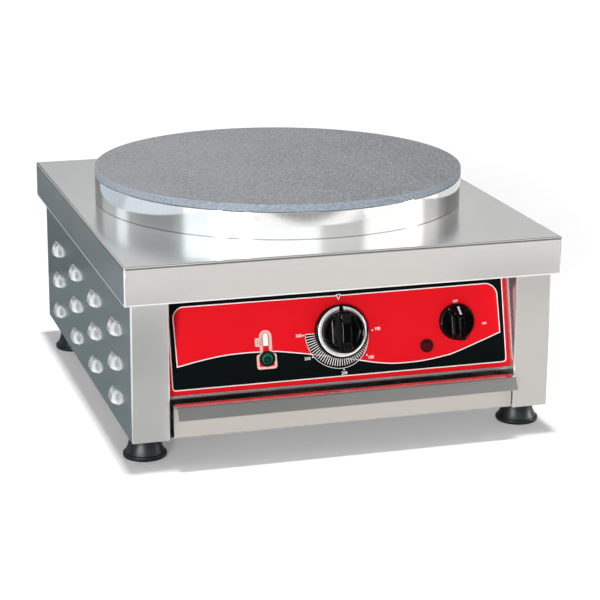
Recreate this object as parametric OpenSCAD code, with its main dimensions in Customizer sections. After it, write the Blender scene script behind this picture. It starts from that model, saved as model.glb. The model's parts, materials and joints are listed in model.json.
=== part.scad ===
// Electric crepe maker: a folded stainless body on four levelling feet, with a round
// cast plate on a polished collar, a tilted control panel and a crumb drawer below it.
// The front faces -Y. The origin is on the floor, in the middle of the whole outline.

/* [Body] */
// How much wider the body is than the plate
side_room = 40; // [30:1:90]
// How much deeper the body is than the plate
depth_room = 69.6; // [62:0.1:120]
// Height of the side panels
body_h = 180.4; // [176:0.1:230]
// Thickness of the stainless sheet
sheet = 1.2; // [1:0.1:1.5]
// Outer radius of the visible folds
fold_r = 2; // [1.8:0.1:2.6]
// Width of each front post
post_w = 38.7; // [36:0.1:46]
// Depth of the return on the inner side of each post
post_return = 45; // [40:0.5:56]
// Width of the inward flanges along the top and the rear
flange_w = 15; // [13:0.5:17]

/* [Cover] */
// How far the cover stands out past each side panel
cover_side = 7; // [4:0.5:12]
// How far the cover stands out past the posts
cover_front = 6.6; // [4:0.1:10]
// How far the cover stands out past the rear
cover_rear = 20.2; // [19.6:0.1:30]
// Height of the turned-down flange
cover_flange = 39.4; // [30:0.1:50]
// How far the round opening in the cover lies inside the collar
opening_margin = 12; // [10:0.5:13]

/* [Louvres] */
// Length of one louvre
louvre_l = 39; // [34:1:60]
// Height of one louvre
louvre_h = 13.5; // [8:0.5:14]
// How far a louvre stands out
louvre_out = 6.3; // [4:0.1:6.4]
// Columns of louvres
louvre_cols = 4; // [1:1:4]
// Rows of louvres
louvre_rows = 3; // [1:1:3]
// Distance between columns
louvre_pitch_y = 105.7; // [80:0.1:110]
// Distance between rows
louvre_pitch_z = 36; // [24:0.5:38]
// Height of the lowest lip above the side panel's lower edge
louvre_low = 21; // [16:0.5:26]

/* [Cooking plate] */
// Diameter of the plate and its collar
plate_d = 400; // [380:1:404]
// Height of the plate's visible rim
plate_rim = 8.3; // [6:0.1:12]
// Full thickness of the casting
plate_t = 20; // [18:0.5:24]
// Height of the collar
collar_h = 28.1; // [25:0.1:40]
// How far the plate's centre lies behind the middle of the body
plate_back = 13.8; // [8:0.1:18]
// Chamfer on the plate's upper edge
plate_chamfer = 0.8; // [0.3:0.1:1.5]

/* [Heating] */
// How far the outer heating element lies inside the plate's edge
outer_ring_in = 40; // [38:1:48]
// How far the inner heating element lies inside the plate's edge
inner_ring_in = 104; // [96:1:120]
// Diameter of the element tube
element_d = 8; // [6:0.5:9]
// How far the circle of plate studs lies inside the plate's edge
stud_circle_in = 70; // [66:1:75]
// Diameter of the plate studs
plate_stud_d = 8; // [6:0.5:8]
// Thickness of the insulation pad
insulation_t = 22; // [16:1:28]
// Thickness of the plate that clamps the elements
clamp_t = 2; // [1.5:0.5:3]
// Width of each bridge bar
bridge_w = 30; // [24:1:36]
// Thickness of each bridge bar
bridge_t = 4; // [3:0.5:5]
// Diameter of the thermostat bulb
bulb_d = 6; // [4:0.5:7]
// Length of the thermostat bulb
bulb_l = 100; // [80:1:120]
// Diameter of the capillary tube
capillary_d = 1.6; // [1.2:0.1:2.4]

/* [Control panel] */
// Tilt of the panel from upright
panel_tilt = 13.7; // [10:0.1:15]
// How far the panel's lower edge lies behind the front of the posts
panel_setback = 9.8; // [8:0.1:14]
// Height of the panel's lower edge above the base
panel_lift = 38.1; // [36:0.1:44]
// Length of the panel's lower flange
panel_flange = 14; // [12:0.5:18]
// Thickness of the printed overlay
overlay_t = 0.3; // [0.2:0.1:0.5]
// Bare steel left below the overlay
overlay_low = 3.9; // [2:0.1:6]
// Height of the overlay
overlay_h = 108; // [100:1:112]
// Height of both knob axes above the panel's lower edge, along the panel
knob_v = 54.6; // [52:0.1:60]
// Distance of the switch from the middle of the panel
switch_u = 125.2; // [110:0.1:135]
// Distance of the red lamp from the switch, towards the middle of the panel
red_lamp_in = 33.6; // [30:0.1:44]
// Height of the red lamp along the panel
red_lamp_v = 32.4; // [28:0.1:36]
// Distance of the green lamp from the middle of the panel, to the left
green_lamp_u = 77.8; // [60:0.1:100]
// Height of the green lamp along the panel
green_lamp_v = 33; // [28:0.1:40]
// Diameter of the red lamp's lens
red_lens_d = 10; // [8:0.5:11]
// Diameter of the green lamp's lens
green_lens_d = 12.2; // [9:0.1:13]
// Width of a lamp's bezel round its lens
bezel_w = 1.9; // [1:0.1:3]

/* [Knobs] */
// Diameter of the thermostat knob's skirt
dial_d = 55; // [50:1:60]
// Diameter of the thermostat knob's grip
dial_grip_d = 43; // [40:0.5:46]
// Height of the thermostat knob's skirt
dial_skirt_h = 7.5; // [6:0.5:10]
// Height of the grip above the skirt
dial_grip_h = 17; // [12:0.5:22]
// Outer diameter of the bright ring
ring_d = 51; // [48:0.5:52]
// Width of the bright ring
ring_w = 3.7; // [2:0.1:3.8]
// Angle left open in the bright ring for the pointer
ring_gap = 6; // [3:1:12]
// Diameter of the switch knob
switch_knob_d = 36.5; // [32:0.5:42]
// Height of the switch knob's round base
switch_base_h = 3.5; // [3:0.5:6]
// Height of the grip above that base
switch_grip_h = 15; // [10:0.5:18]
// Width of a grip at its front
grip_w = 6; // [4:0.5:9]
// Gap between a knob and the overlay
knob_gap = 1.2; // [0.8:0.1:2]
// Diameter of both spindles
spindle_d = 6; // [5:0.5:7]
// Flat cut on the end of a spindle
spindle_flat = 1.5; // [0.5:0.1:2]

/* [Controls behind the panel] */
// Width of the thermostat body
thermostat_w = 36; // [30:1:44]
// Height of the thermostat body
thermostat_h = 44; // [36:1:48]
// Depth of the thermostat body
thermostat_deep = 34; // [26:1:40]
// Width and height of the switch body
switch_size = 42; // [36:1:46]
// Depth of the switch body
switch_deep = 40; // [30:1:46]
// Depth of a lamp's barrel behind the panel
lamp_deep = 26; // [18:1:34]
// Diameter of a control's threaded bush
bush_d = 10; // [9:0.5:12]
// Diameter of the safety limiter
limiter_d = 16; // [12:0.5:20]
// Height of the safety limiter
limiter_h = 9; // [6:0.5:12]

/* [Drawer] */
// Gap between the drawer front and each post
drawer_gap = 2.6; // [1:0.1:5]
// How far the drawer front stands out past the posts
drawer_proud = 2.7; // [1.5:0.1:6]
// Lower edge of the drawer front above the base
drawer_low = 3; // [2.6:0.1:3.4]
// Height of the drawer front
drawer_front_h = 35.2; // [34.5:0.1:35.3]
// Depth of the flat ledge at the top of the drawer front
ledge_d = 11.5; // [8:0.1:16]
// How far the sloping lip runs out past the ledge
lip_run = 8.5; // [5:0.1:12]
// How far the sloping lip drops
lip_drop = 11.7; // [8:0.1:15]
// How much shorter the lip is than the drawer front, at each end
lip_end = 0.9; // [0.5:0.1:4]
// Height of the tray's walls
tray_h = 26; // [20:0.5:28]
// How much shorter the tray is than the body
tray_short = 49.6; // [44:0.1:90]
// Width of a runner's foot
runner_w = 16; // [12:0.5:22]
// Height of a runner
runner_h = 20; // [14:0.5:26]
// Thickness of a runner
runner_t = 1.5; // [1:0.1:2]

/* [Feet] */
// Height of the feet
foot_h = 25; // [22:0.5:34]
// Radius of a foot's base
foot_r = 22.1; // [20:0.1:26]
// Radius of a foot at its top
foot_neck_r = 15.3; // [12:0.1:17]
// Distance of a foot's axis from the side of the body
foot_inset_x = 19.4; // [18:0.1:20]
// Distance of the front feet's axes from the front of the body
foot_front_in = 33; // [28:0.5:36]
// Distance of the rear feet's axes from the rear of the body
foot_rear_in = 59; // [30:1:70]
// Diameter of a foot's threaded stud
foot_stud_d = 8; // [6:0.5:10]
// Length of a foot's stud above the base
foot_stud_l = 30; // [26:1:36]

/* [Rear] */
// Distance of the cable gland from the left side of the body
gland_in = 70; // [55:1:90]
// Height of the cable gland above the base
gland_z = 36; // [30:1:50]
// Diameter of the gland's threaded barrel
gland_d = 20; // [16:1:22]
// Diameter of the hole for the cable
cable_hole_d = 10; // [8:0.5:12]
// Number of cooling slots in each group
slot_count = 8; // [1:1:9]
// Width of a cooling slot
slot_w = 4; // [3:0.5:6]
// Height of a cooling slot
slot_h = 40; // [20:1:50]
// Distance between cooling slots
slot_pitch = 12; // [9:0.5:14]

/* [Fasteners] */
// Diameter of the small screws
screw_d = 4; // [3:0.5:4]
// Diameter of a small screw's head
screw_head_d = 7.6; // [6.5:0.1:8]
// Height of a small screw's head
screw_head_h = 2.4; // [1.6:0.1:3]
// Diameter of the studs under the cover
cover_stud_d = 5; // [4:0.5:6]
// Length of the studs under the cover
cover_stud_l = 12; // [10:0.5:14]

/* [Hidden] */

$fn = 64;
fold_steps = 5;
seat_gap = 0.2;
clear_gap = 0.3;
running_gap = 0.05;
glue_gap = 0.02;
through = 1;

body_w = plate_d + side_room;
body_d = plate_d + depth_room;
front_reach = drawer_proud + ledge_d + lip_run;
total_d = front_reach + body_d + cover_rear;
body_front = front_reach - total_d / 2;
body_back = body_front + body_d;
body_mid = (body_front + body_back) / 2;
half_w = body_w / 2;
post_inner = half_w - post_w;
base_z = foot_h;
pan_top = base_z + sheet;
body_top = base_z + body_h;
cover_top = body_top + sheet;

plate_r = plate_d / 2;
plate_y = body_mid + plate_back;
opening_r = plate_r - opening_margin;
rim_z = cover_top + collar_h;
plate_top = rim_z + plate_rim;
plate_low = plate_top - plate_t;
spigot_r = opening_r - 2;
element_z = plate_low - seat_gap - element_d / 2;
clamp_top = element_z - element_d / 2 - seat_gap;
insulation_top = clamp_top - clamp_t - seat_gap;
pan_r = opening_r - 6;
pan_floor = insulation_top - insulation_t - seat_gap;
bridge_top = pan_floor - sheet;
leg_end_z = bridge_top - bridge_t - 10;
leg_angle = 8;
outer_ring_r = plate_r - outer_ring_in;
inner_ring_r = plate_r - inner_ring_in;
stud_xy = (plate_r - stud_circle_in) / sqrt(2);

panel_y = body_front + panel_setback;
panel_z = base_z + panel_lift;
panel_half = post_inner - clear_gap;
red_lamp_u = switch_u - red_lamp_in;
bush_out = overlay_t + knob_gap / 2;
knob_w = overlay_t + knob_gap;

drawer_half = post_inner - drawer_gap;
drawer_face = body_front - drawer_proud;
drawer_z = base_z + drawer_low;
drawer_top = drawer_z + drawer_front_h;
tray_half = drawer_half - 4.5;
tray_front = drawer_face + sheet;
tray_d = body_d - tray_short;
gland_x = half_w - gland_in;

small_bore_r = screw_d / 2 + running_gap;

// ---------------------------------------------------------------- sheet helpers

function unit(v) = v / norm(v);
function left_of(v) = [-v[1], v[0]];
function turn_angle(a, b) = atan2(a[0] * b[1] - a[1] * b[0], a * b);
function spin(v, a) = [v[0] * cos(a) - v[1] * sin(a), v[0] * sin(a) + v[1] * cos(a)];

// Points of the arc of radius r that rounds corner p between a and b
function fold_arc(a, p, b, r) =
    let (
        u = unit(p - a),
        angle = turn_angle(u, unit(b - p)),
        start = p - u * r * tan(abs(angle) / 2),
        centre = start + sign(angle) * r * left_of(u)
    )
    [for (i = [0:fold_steps]) centre + spin(start - centre, angle * i / fold_steps)];

function folded_line(points, r) = [
    points[0],
    for (i = [1:len(points) - 2]) each fold_arc(points[i - 1], points[i], points[i + 1], r),
    points[len(points) - 1]
];

// Offset of point i of a line to its left by s, mitred
function beside(line, i, s) =
    let (
        last = len(line) - 1,
        before = unit(line[max(i, 1)] - line[max(i, 1) - 1]),
        after = unit(line[min(i + 1, last)] - line[min(i + 1, last) - 1]),
        middle = unit(left_of(before) + left_of(after))
    )
    line[i] + middle * s / (middle * left_of(after));

// Flat outline of a sheet t thick, folded with outer radius r along its middle line
module folded_sheet(points, t = sheet, r = fold_r) {
    line = folded_line(points, r - t / 2);
    last = len(line) - 1;
    polygon([
        for (i = [0:last]) beside(line, i, t / 2),
        for (i = [last:-1:0]) beside(line, i, -t / 2)
    ]);
}

// Corner points of a rectangle whose corners are rounded with radius r
function rounded_rectangle(x0, y0, x1, y1, r) = [
    for (corner = [[x1 - r, y1 - r, 0], [x0 + r, y1 - r, 90], [x0 + r, y0 + r, 180], [x1 - r, y0 + r, 270]])
        for (i = [0:fold_steps])
            let (a = corner[2] + 90 * i / fold_steps)
            [corner[0] + r * cos(a), corner[1] + r * sin(a)]
];

// Lays a flat outline drawn in Y and Z out along X
module along_x(x0, x1) {
    translate([x0, 0, 0])
        rotate([90, 0, 90])
            linear_extrude(x1 - x0)
                children();
}

// Lays a flat outline drawn in X and Z out along Y
module along_y(y0, y1) {
    translate([0, y1, 0])
        rotate([90, 0, 0])
            linear_extrude(y1 - y0)
                children();
}

// Puts things on the control panel: u to the right, v up the panel, w out of its face
module on_panel(u = 0, v = 0, w = 0) {
    translate([0, panel_y, panel_z])
        rotate([90 - panel_tilt, 0, 0])
            translate([u, v, w])
                children();
}

// The same place as a point
function panel_point(u, v, w) = [
    u,
    panel_y + v * sin(panel_tilt) - w * cos(panel_tilt),
    panel_z + v * cos(panel_tilt) + w * sin(panel_tilt)
];

module hex_nut(across, height, bore_r) {
    difference() {
        cylinder(d = across / cos(30), h = height, $fn = 6);
        translate([0, 0, -through])
            cylinder(r = bore_r, h = height + 2 * through);
    }
}

corner_swell = 1.25;

// A wire or tube through a list of points, slightly swollen at its corners
module tube_run(points, d) {
    for (i = [0:len(points) - 2]) {
        step = points[i + 1] - points[i];
        translate(points[i])
            rotate([0, acos(step[2] / norm(step)), atan2(step[1], step[0])])
                cylinder(d = d, h = norm(step), $fn = 24);
        if (i > 0)
            translate(points[i])
                sphere(d = d * corner_swell, $fn = 24);
    }
}

// A pan-head screw whose head sits on Z = 0 and whose shank goes down
module small_screw(length) {
    cylinder(d = screw_head_d, h = screw_head_h * 0.6);
    translate([0, 0, screw_head_h * 0.6])
        cylinder(d1 = screw_head_d, d2 = screw_head_d * 0.6, h = screw_head_h * 0.4);
    translate([0, 0, -length])
        cylinder(d = screw_d, h = length);
}

// ------------------------------------------------------------------------ cover

// The cover's block, drawn in by inset on every side
module cover_block(inset, r, z_low) {
    x = half_w + cover_side - inset;
    y0 = body_front - cover_front + inset;
    y1 = body_back + cover_rear - inset;
    z1 = cover_top - inset;
    intersection() {
        along_x(-x, x)
            polygon(rounded_rectangle(y0, z_low - 2 * r, y1, z1, r));
        along_y(y0, y1)
            polygon(rounded_rectangle(-x, z_low - 2 * r, x, z1, r));
        translate([0, 0, z_low])
            linear_extrude(z1 - z_low)
                polygon(rounded_rectangle(-x, y0, x, y1, r));
    }
}

module top_cover() {
    color("gainsboro")
        difference() {
            cover_block(0, fold_r, cover_top - cover_flange);
            cover_block(sheet, fold_r - sheet, cover_top - cover_flange - through);
            translate([0, plate_y, body_top - through])
                cylinder(r = opening_r, h = sheet + 2 * through, $fn = 128);
        }
}

cover_stud_end = 40;
cover_stud_rows = [
    body_front + post_return + cover_stud_end / 2, body_mid, body_back - cover_stud_end
];
cover_stud_x = half_w - flange_w / 2 - sheet / 2;
panel_stud_x = post_inner / 2;
panel_top_y = panel_y + (body_top - panel_z) * tan(panel_tilt);
panel_stud_y = panel_top_y + sheet + panel_flange / 2;

// Places of the studs that hold the cover: along both side flanges and the panel's flange
module at_cover_studs() {
    for (x = [-cover_stud_x, cover_stud_x])
        for (y = cover_stud_rows)
            translate([x, y, body_top])
                children();
    for (x = [-panel_stud_x, 0, panel_stud_x])
        translate([x, panel_stud_y, body_top])
            children();
}

module cover_studs() {
    color("silver")
        at_cover_studs()
            translate([0, 0, -cover_stud_l])
                cylinder(d = cover_stud_d, h = cover_stud_l);
}

module cover_stud_holes() {
    at_cover_studs()
        translate([0, 0, -sheet - through])
            cylinder(r = cover_stud_d / 2 + running_gap, h = sheet + 2 * through);
}

module cover_nuts() {
    height = cover_stud_d * 0.8;
    color("darkgray")
        at_cover_studs()
            translate([0, 0, -sheet - height])
                hex_nut(cover_stud_d * 1.6, height, cover_stud_d / 2 + running_gap);
}

// ------------------------------------------------------------------------ plate

collar_lip_gap = 4;

module plate_collar() {
    r0 = opening_r + collar_lip_gap;
    color("silver")
        translate([0, plate_y, 0])
            rotate_extrude($fn = 128)
                folded_sheet([
                    [r0, cover_top + sheet / 2],
                    [plate_r - sheet / 2, cover_top + sheet / 2],
                    [plate_r - sheet / 2, rim_z - sheet / 2],
                    [r0, rim_z - sheet / 2]
                ]);
}

module at_plate_studs() {
    for (x = [-stud_xy, stud_xy])
        for (y = [-stud_xy, stud_xy])
            translate([x, plate_y + y, 0])
                children();
}

plate_stud_grip = 14;

module cooking_plate() {
    stud_r = plate_stud_d / 2 + running_gap;
    color("dimgray")
        difference() {
            translate([0, plate_y, 0])
                rotate_extrude($fn = 128)
                    polygon([
                        [0, plate_low],
                        [spigot_r, plate_low],
                        [spigot_r, rim_z],
                        [plate_r, rim_z],
                        [plate_r, plate_top - plate_chamfer],
                        [plate_r - plate_chamfer, plate_top],
                        [0, plate_top]
                    ]);
            at_plate_studs()
                translate([0, 0, plate_low - through])
                    cylinder(r = stud_r, h = plate_stud_grip + through);
        }
}

plate_nut_h = 6.5;
stud_past_nut = 4;

module plate_studs() {
    low = bridge_top - bridge_t - plate_nut_h - stud_past_nut;
    color("silver")
        at_plate_studs()
            translate([0, 0, low])
                cylinder(d = plate_stud_d, h = plate_low + plate_stud_grip - seat_gap - low);
}

module plate_nuts() {
    color("darkgray")
        at_plate_studs()
            translate([0, 0, bridge_top - bridge_t - plate_nut_h])
                hex_nut(plate_stud_d * 1.6, plate_nut_h, plate_stud_d / 2 + running_gap);
}

// ---------------------------------------------------------------------- heating

leg_r = element_d / 2;
weld_bead = 0.15;

module element_legs(r) {
    for (a = [-leg_angle, leg_angle])
        translate([r * cos(a), plate_y + r * sin(a), 0])
            children();
}

// An open ring of tube under the plate, with both ends turned down through the pan
module element(r) {
    translate([0, plate_y, element_z])
        rotate([0, 0, leg_angle])
            rotate_extrude(angle = 360 - 2 * leg_angle, $fn = 128)
                translate([r, 0])
                    circle(r = leg_r, $fn = 32);
    element_legs(r)
        translate([0, 0, leg_end_z])
            cylinder(r = leg_r + weld_bead, h = element_z + leg_r - leg_end_z, $fn = 32);
}

module outer_element() {
    color("darkslategray") element(outer_ring_r);
}

module inner_element() {
    color("darkslategray") element(inner_ring_r);
}

terminal_bead_h = 8;
capillary_back = 6;
capillary_y = plate_y - bulb_l / 2 - capillary_back;

module element_terminals() {
    color("ivory")
        for (r = [outer_ring_r, inner_ring_r])
            element_legs(r)
                translate([0, 0, leg_end_z - terminal_bead_h])
                    cylinder(d = element_d, h = terminal_bead_h);
}

// Everything that passes down through the clamp, the insulation and the pan
module heater_passages(z, h) {
    for (r = [outer_ring_r, inner_ring_r])
        element_legs(r)
            translate([0, 0, z - through])
                cylinder(r = leg_r + weld_bead + clear_gap, h = h + 2 * through);
    at_plate_studs()
        translate([0, 0, z - through])
            cylinder(r = plate_stud_d / 2 + clear_gap, h = h + 2 * through);
    translate([0, capillary_y, z - through])
        cylinder(d = capillary_d + 2 * clear_gap, h = h + 2 * through);
}

module heater_disc(r, z, h) {
    difference() {
        translate([0, plate_y, z])
            cylinder(r = r, h = h, $fn = 128);
        heater_passages(z, h);
    }
}

module element_clamp() {
    color("gray") heater_disc(pan_r - 4, clamp_top - clamp_t, clamp_t);
}

module insulation_pad() {
    color("wheat") heater_disc(pan_r - sheet - seat_gap, insulation_top - insulation_t, insulation_t);
}

module reflector_pan() {
    wall_top = clamp_top;
    color("lightgray")
        difference() {
            translate([0, plate_y, 0])
                rotate_extrude($fn = 128)
                    polygon([
                        [0, pan_floor - sheet],
                        [pan_r, pan_floor - sheet],
                        [pan_r, wall_top],
                        [pan_r - sheet, wall_top],
                        [pan_r - sheet, pan_floor],
                        [0, pan_floor]
                    ]);
            heater_passages(pan_floor - sheet, sheet);
        }
}

bridge_leg_gap = 4;
bridge_foot_l = 16;

// Two bars that hang from the underside of the cover and pull the plate down
module plate_bridges() {
    leg_x = sqrt(pow(opening_r, 2) - pow(stud_xy - bridge_w / 2, 2)) + bridge_leg_gap;
    foot_end_x = leg_x + bridge_foot_l;
    color("gray")
        for (side = [-1, 1])
            difference() {
                along_y(plate_y + side * stud_xy - bridge_w / 2, plate_y + side * stud_xy + bridge_w / 2)
                    folded_sheet([
                        [-foot_end_x, body_top - bridge_t / 2],
                        [-leg_x, body_top - bridge_t / 2],
                        [-leg_x, bridge_top - bridge_t / 2],
                        [leg_x, bridge_top - bridge_t / 2],
                        [leg_x, body_top - bridge_t / 2],
                        [foot_end_x, body_top - bridge_t / 2]
                    ], bridge_t, bridge_t * 1.3);
                at_plate_studs()
                    translate([0, 0, bridge_top - bridge_t - through])
                        cylinder(r = plate_stud_d / 2 + clear_gap, h = bridge_t + 2 * through);
            }
}

capillary_drop = 4;
capillary_low = leg_end_z - capillary_drop;
capillary_reach = 22;
capillary_end = panel_point(0, knob_v, -sheet - thermostat_deep - capillary_d / 2);

// The bulb lies under the plate; its capillary runs down and forward to the thermostat
module thermostat_bulb() {
    bulb_z = plate_low - seat_gap - bulb_d / 2;
    front_y = capillary_end[1] + capillary_reach;
    color("darkgoldenrod") {
        translate([0, plate_y + bulb_l / 2, bulb_z])
            rotate([90, 0, 0])
                cylinder(d = bulb_d, h = bulb_l);
        tube_run([
            [0, plate_y - bulb_l / 2, bulb_z],
            [0, capillary_y, bulb_z],
            [0, capillary_y, capillary_low],
            [0, front_y, capillary_low],
            [0, front_y, capillary_end[2]],
            capillary_end
        ], capillary_d);
    }
}

tab_t = 0.8;
tab_w = 6;
tab_l = 7;

// A flat connector tab that stands on Z = 0 and is sunk a little into what carries it
module tab(wide = tab_w) {
    translate([-tab_t / 2, -wide / 2, -through])
        cube([tab_t, wide, tab_l + through]);
}

// A round cut-out switch with two ears, under the floor of the reflector pan
module safety_limiter() {
    color("black")
        translate([-outer_ring_r / 3, plate_y, bridge_top - limiter_h]) {
            cylinder(d = limiter_d, h = limiter_h);
            translate([-limiter_d * 0.8, -limiter_d / 4, limiter_h - sheet])
                cube([limiter_d * 1.6, limiter_d / 2, sheet]);
            for (x = [-limiter_d / 4, limiter_d / 4])
                translate([x, 0, 0])
                    rotate([180, 0, 0])
                        tab();
        }
}

// ------------------------------------------------------------------- body sheets

louvre_r = (pow(louvre_h, 2) + pow(louvre_out, 2)) / (2 * louvre_out);
louvre_straight = louvre_l - 2 * louvre_h;

// A round-ended bar along Y with its middle at the origin
module capsule(r, straight) {
    rotate([90, 0, 0])
        cylinder(r = r, h = straight, center = true, $fn = 48);
    for (y = [-straight / 2, straight / 2])
        translate([0, y, 0])
            sphere(r = r, $fn = 48);
}

louvre_back = 3;

// Places of the louvres on a side panel whose outer face is at X = 0, facing -X
module at_louvres() {
    for (col = [0:louvre_cols - 1])
        for (row = [0:louvre_rows - 1])
            translate([
                louvre_r - louvre_out,
                body_mid + louvre_back + (col - (louvre_cols - 1) / 2) * louvre_pitch_y,
                base_z + louvre_low + row * louvre_pitch_z
            ])
                children();
}

// The half-open hoods pressed out of the side, each with its mouth facing down
module louvre_hoods() {
    depth = louvre_r - louvre_out;
    at_louvres()
        difference() {
            intersection() {
                capsule(louvre_r, louvre_straight);
                translate([-2 * louvre_r, -louvre_l, 0])
                    cube([2 * louvre_r - depth, 2 * louvre_l, 2 * louvre_r]);
            }
            capsule(louvre_r - sheet, louvre_straight);
        }
}

module louvre_cuts() {
    at_louvres()
        intersection() {
            capsule(louvre_r - sheet, louvre_straight);
            translate([-2 * louvre_r, -louvre_l, 0])
                cube([4 * louvre_r, 2 * louvre_l, 2 * louvre_r]);
        }
}

rear_screw_end = 24;
rear_screw_rows = [base_z + rear_screw_end, base_z + body_h / 2, body_top - rear_screw_end];
rear_screw_x = half_w - flange_w / 2;

module at_rear_screws() {
    for (x = [-rear_screw_x, rear_screw_x])
        for (z = rear_screw_rows)
            translate([x, body_back, z])
                rotate([-90, 0, 0])
                    children();
}

// Left side panel with its front post, drawn from its outer corner
module side_panel() {
    edge = sheet / 2;
    difference() {
        union() {
            difference() {
                translate([-half_w, 0, base_z])
                    linear_extrude(body_h)
                        folded_sheet([
                            [post_w - edge, body_front + post_return],
                            [post_w - edge, body_front + edge],
                            [edge, body_front + edge],
                            [edge, body_back - edge],
                            [flange_w, body_back - edge]
                        ]);
                translate([-half_w, 0, 0])
                    louvre_cuts();
            }
            translate([-half_w, 0, 0])
                louvre_hoods();
            translate([-half_w + edge, body_front + post_return, body_top - sheet])
                cube([flange_w - edge, body_d - post_return - 2 * sheet - seat_gap, sheet]);
        }
        cover_stud_holes();
        at_rear_screws()
            translate([0, 0, -sheet - through])
                cylinder(r = small_bore_r, h = sheet + 2 * through);
    }
}

module side_panel_left() {
    color("lightgray") side_panel();
}

module side_panel_right() {
    color("lightgray") mirror([1, 0, 0]) side_panel();
}

rear_half = half_w - fold_r;
slot_group_x = half_w * 0.45;
slot_low = base_z + body_h * 0.62;
screw_grip = 6;
rear_low = pan_top + seat_gap;

module rear_panel() {
    color("lightgray")
        difference() {
            translate([-rear_half, body_back - 2 * sheet, rear_low])
                cube([2 * rear_half, sheet, body_top - seat_gap - rear_low]);
            for (group = [-1, 1])
                for (i = [0:slot_count - 1])
                    translate([
                        group * slot_group_x + (i - (slot_count - 1) / 2) * slot_pitch - slot_w / 2,
                        body_back - 2 * sheet - through,
                        slot_low
                    ])
                        cube([slot_w, sheet + 2 * through, slot_h]);
            translate([-gland_x, body_back, base_z + gland_z])
                rotate([90, 0, 0])
                    cylinder(r = gland_d / 2 + running_gap, h = 3 * sheet);
            at_rear_screws()
                translate([0, 0, -2 * sheet - through])
                    cylinder(r = small_bore_r, h = sheet + 2 * through);
            at_block_screws()
                translate([0, 0, -sheet - through])
                    cylinder(r = small_bore_r, h = sheet + 2 * through);
            at_earth_stud()
                translate([0, 0, -sheet - through])
                    cylinder(r = small_bore_r, h = sheet + 2 * through);
        }
}

module rear_screws() {
    color("silver") {
        at_rear_screws()
            small_screw(2 * sheet + screw_grip);
        at_block_screws()
            small_screw(sheet + block_deep - screw_grip);
    }
}

foot_x = half_w - foot_inset_x;
foot_front_y = body_front + foot_front_in;
foot_rear_y = body_back - foot_rear_in;

module at_feet() {
    for (x = [-foot_x, foot_x])
        for (y = [foot_front_y, foot_rear_y])
            translate([x, y, 0])
                children();
}

pan_wall_h = 12;

module base_pan() {
    half = half_w - sheet;
    front = body_front + 2 * fold_r;
    back = body_back - 2 * sheet;
    color("silver")
        difference() {
            union() {
                along_y(front, back)
                    folded_sheet([
                        [-half + sheet / 2, base_z + pan_wall_h],
                        [-half + sheet / 2, base_z + sheet / 2],
                        [half - sheet / 2, base_z + sheet / 2],
                        [half - sheet / 2, base_z + pan_wall_h]
                    ]);
                translate([-half + flange_w, back - sheet, base_z])
                    cube([2 * (half - flange_w), sheet, pan_wall_h]);
            }
            at_feet()
                translate([0, 0, base_z - through])
                    cylinder(r = foot_stud_d / 2 + running_gap, h = sheet + 2 * through);
            for (x = [-post_inner - sheet, post_inner])
                translate([x - seat_gap, body_front, base_z - through])
                    cube([sheet + 2 * seat_gap, post_return + seat_gap, sheet + 2 * through]);
        }
}

// ---------------------------------------------------------------- control panel

thermostat_screw_in = 5.5;
switch_screw_in = 7.5;
control_screw_l = 8;
switch_screw_u = switch_size / 2 - switch_screw_in;
thermostat_screw_u = thermostat_w / 2 - thermostat_screw_in;

// Places of the two screws of each control, under the knobs
module at_control_screws() {
    for (u = [-thermostat_screw_u, thermostat_screw_u])
        on_panel(u, knob_v)
            children();
    for (u = [-switch_screw_u, switch_screw_u])
        on_panel(switch_u + u, knob_v)
            children();
}

panel_screw_spread = [-0.42, 0.575, 0.93];

module at_panel_screws() {
    for (spread = panel_screw_spread)
        translate([spread * panel_half, panel_y + panel_flange * 0.6, panel_z])
            rotate([180, 0, 0])
                children();
}

module panel_holes(w0, w1, screws) {
    for (u = [0, switch_u])
        on_panel(u, knob_v, w0)
            cylinder(r = bush_d / 2 + seat_gap, h = w1 - w0);
    on_panel(red_lamp_u, red_lamp_v, w0)
        cylinder(r = red_lens_d / 2 + seat_gap, h = w1 - w0);
    on_panel(-green_lamp_u, green_lamp_v, w0)
        cylinder(r = green_lens_d / 2 + seat_gap, h = w1 - w0);
    at_control_screws()
        translate([0, 0, w0])
            cylinder(r = screws, h = w1 - w0);
}

module control_panel() {
    lean = tan(panel_tilt);
    offset_y = sheet / 2 / cos(panel_tilt);
    low_y = panel_y + offset_y + sheet / 2 * lean;
    high_y = panel_y + offset_y + (body_top - sheet / 2 - panel_z) * lean;
    color("gainsboro")
        difference() {
            along_x(-panel_half, panel_half)
                folded_sheet([
                    [low_y + panel_flange, panel_z + sheet / 2],
                    [low_y, panel_z + sheet / 2],
                    [high_y, body_top - sheet / 2],
                    [high_y + panel_flange, body_top - sheet / 2]
                ]);
            panel_holes(-sheet - through, through, small_bore_r);
            cover_stud_holes();
            at_panel_screws()
                translate([0, 0, -sheet - through])
                    cylinder(r = small_bore_r, h = sheet + 2 * through);
        }
}

module panel_overlay() {
    color("crimson")
        difference() {
            on_panel(-panel_half, overlay_low, glue_gap)
                cube([2 * panel_half, overlay_h, overlay_t - glue_gap]);
            panel_holes(-through, through + overlay_t, screw_head_d / 2 + seat_gap);
        }
}

module control_screws() {
    color("silver")
        at_control_screws()
            low_screw();
}

// A low head that fits under a knob's skirt
module low_screw() {
    cylinder(d = screw_head_d, h = bush_out);
    translate([0, 0, -sheet - control_screw_l])
        cylinder(d = screw_d, h = sheet + control_screw_l);
}

module panel_screws() {
    color("silver")
        at_panel_screws()
            small_screw(sheet + screw_grip);
}

spindle_deep = 10;
dial_socket = 9;

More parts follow.
